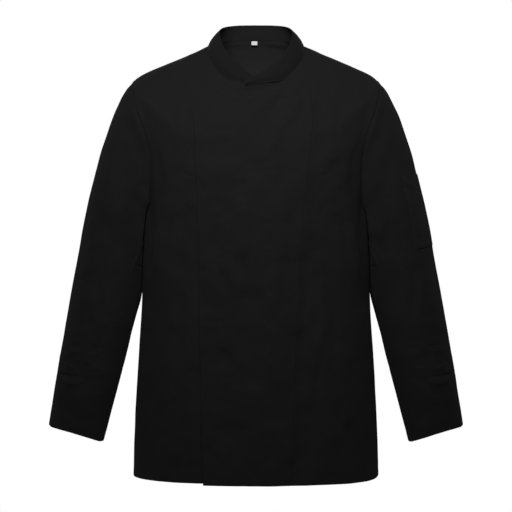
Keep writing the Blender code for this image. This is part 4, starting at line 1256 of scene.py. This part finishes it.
def make_pocket(cloth, thread):
    turn = POCKET_FORWARD + np.linspace(POCKET_HALF_ANGLE, -POCKET_HALF_ANGLE, POCKET_POINTS)
    axis = np.array([math.sin(ARM_SLANT), 0, -math.cos(ARM_SLANT)])
    samples = np.arange(1, CUFF_ROW, POCKET_SAMPLE_STEP)
    outline = sleeve_point(np.zeros_like(samples), samples)
    drop = np.linspace(POCKET_TOP_Z, POCKET_BOTTOM_Z, POCKET_POINTS)
    reach = np.interp(-drop, -outline[:, 2], outline @ axis)
    row = np.empty((len(reach), len(turn)))
    for j, angle in enumerate(turn):
        line = sleeve_point(np.full_like(samples, angle), samples) @ axis
        row[:, j] = np.interp(reach, line, samples)
    turn = np.broadcast_to(turn, row.shape)
    points, normal = sleeve_point(turn, row), -normals(sleeve_point, turn, row)
    extra = POCKET_LIFT + arm_creases(points, normal, SLEEVE_CREASES + POCKET_CREASES)
    sew("sleeve_pocket", "pocket", points, normal, extra, cloth, thread)


def make_label(tape):
    """A tape folded at its lower end, with both ends in the neck seam."""
    across = LABEL_X + np.linspace(-LABEL_WIDTH / 2, LABEL_WIDTH / 2, LABEL_COLUMNS)
    angle = math.pi - np.arcsin(np.abs(across) / BODY["half_width"][0])
    row = np.full_like(across, BELOW_SEAM)
    top = body_point(angle, row) - normals(body_point, angle, row) * LABEL_IN
    top[..., 1:] = top[..., 1:].max(0)
    top[..., 0] = across
    bend = np.linspace(0, math.pi, LABEL_ROWS)[:, None]
    length = LABEL_LENGTH - LABEL_FOLD
    straight = np.linspace(0, length, LABEL_ROWS)[:-1, None]
    down = np.concatenate([straight, length + LABEL_FOLD * np.sin(bend), straight[::-1]])
    flat = np.zeros_like(straight)
    behind = np.concatenate([flat, LABEL_FOLD * (1 - np.cos(bend)), flat + 2 * LABEL_FOLD])
    facing = np.concatenate([flat, bend, flat + math.pi])
    none = np.zeros_like(down)
    outer = top[None] + np.stack([none, behind, -down], -1)
    normal = np.stack([none, -np.cos(facing), -np.sin(facing)], -1)
    normal = np.broadcast_to(normal, outer.shape)
    wear = np.zeros(outer.shape[:2])
    label = cloth_piece("neck_label_cloth", outer, LABEL_THICKNESS, normal, wear, tape)
    declare("neck_label", outer)


# ---- camera, light and floor


def make_camera():
    data = bpy.data.cameras.new("camera")
    data.sensor_width = CAMERA_SENSOR
    data.lens = CAMERA_SENSOR * CAMERA_AWAY / VIEW_WIDTH
    data.clip_end = CAMERA_FAR
    camera = placed("camera", data)
    camera.location = (0.0, -CAMERA_AWAY, CAMERA_Z)
    camera.rotation_euler = (math.pi / 2, 0.0, 0.0)
    bpy.context.scene.camera = camera


def make_lamps():
    for numbers in LAMP_ROWS:
        row = named(LAMP_COLUMNS, numbers)
        data = bpy.data.lights.new(row["name"], "AREA")
        data.shape = "RECTANGLE"
        data.size, data.size_y = row["size"]
        data.energy = row["power"]
        lamp = placed(row["name"], data)
        lamp.location = row["place"]
        direction = Vector(row["aim"]) - Vector(row["place"])
        lamp.rotation_euler = direction.to_track_quat("-Z", "Y").to_euler()


def make_world():
    """White where the camera sees it, and faint as a light."""
    world = bpy.data.worlds.new("studio")
    bpy.context.scene.world = world
    world.use_nodes = True
    nodes, links = world.node_tree.nodes, world.node_tree.links
    nodes.clear()
    out = nodes.new("ShaderNodeOutputWorld")
    mix = nodes.new("ShaderNodeMixShader")
    path = nodes.new("ShaderNodeLightPath")
    seen, lit = nodes.new("ShaderNodeBackground"), nodes.new("ShaderNodeBackground")
    for background, strength in ((seen, WORLD_SEEN), (lit, WORLD_LIGHT)):
        background.inputs["Color"].default_value = (1, 1, 1, 1)
        background.inputs["Strength"].default_value = strength
    links.new(path.outputs["Is Camera Ray"], mix.inputs[0])
    links.new(lit.outputs[0], mix.inputs[1])
    links.new(seen.outputs[0], mix.inputs[2])
    links.new(mix.outputs[0], out.inputs[0])
    bpy.context.scene.view_settings.view_transform = "Standard"


def make_floor():
    turn = np.linspace(0, math.tau, FLOOR_CORNERS, endpoint=False)
    rim = [(FLOOR_RADIUS * math.cos(a), FLOOR_RADIUS * math.sin(a), FLOOR_Z) for a in turn]
    mesh = bpy.data.meshes.new("floor")
    mesh.from_pydata(rim, [], [tuple(range(len(rim)))])
    pale = Wiring("pale_floor")
    inputs = pale.nodes["Principled BSDF"].inputs
    inputs["Base Color"].default_value = (FLOOR_GREY, FLOOR_GREY, FLOOR_GREY, 1)
    inputs["Roughness"].default_value = FLOOR_ROUGHNESS
    mesh.materials.append(pale.made)
    placed("floor", mesh)


def main():
    trunk, arm = woven("black_twill_trunk"), woven("black_twill_sleeve_painted_shade")
    thread = woven("black_thread")
    make_back(trunk, thread)
    make_front_right(trunk, thread)
    make_front_left(trunk, thread)
    make_collar(woven("black_twill_collar_painted_shade"), thread)
    for side in ("left", "right"):
        make_tube(f"sleeve_{side}", "sleeve", sleeve_rows(), 0.0, arm, thread)
        make_tube(f"cuff_{side}", "cuff", cuff_rows(), CUFF_PROUD, arm, thread)
    make_pocket(woven("black_twill_pocket_painted_light"), thread)
    make_label(woven("label_tape"))
    make_camera()
    make_lamps()
    make_world()
    make_floor()


main()
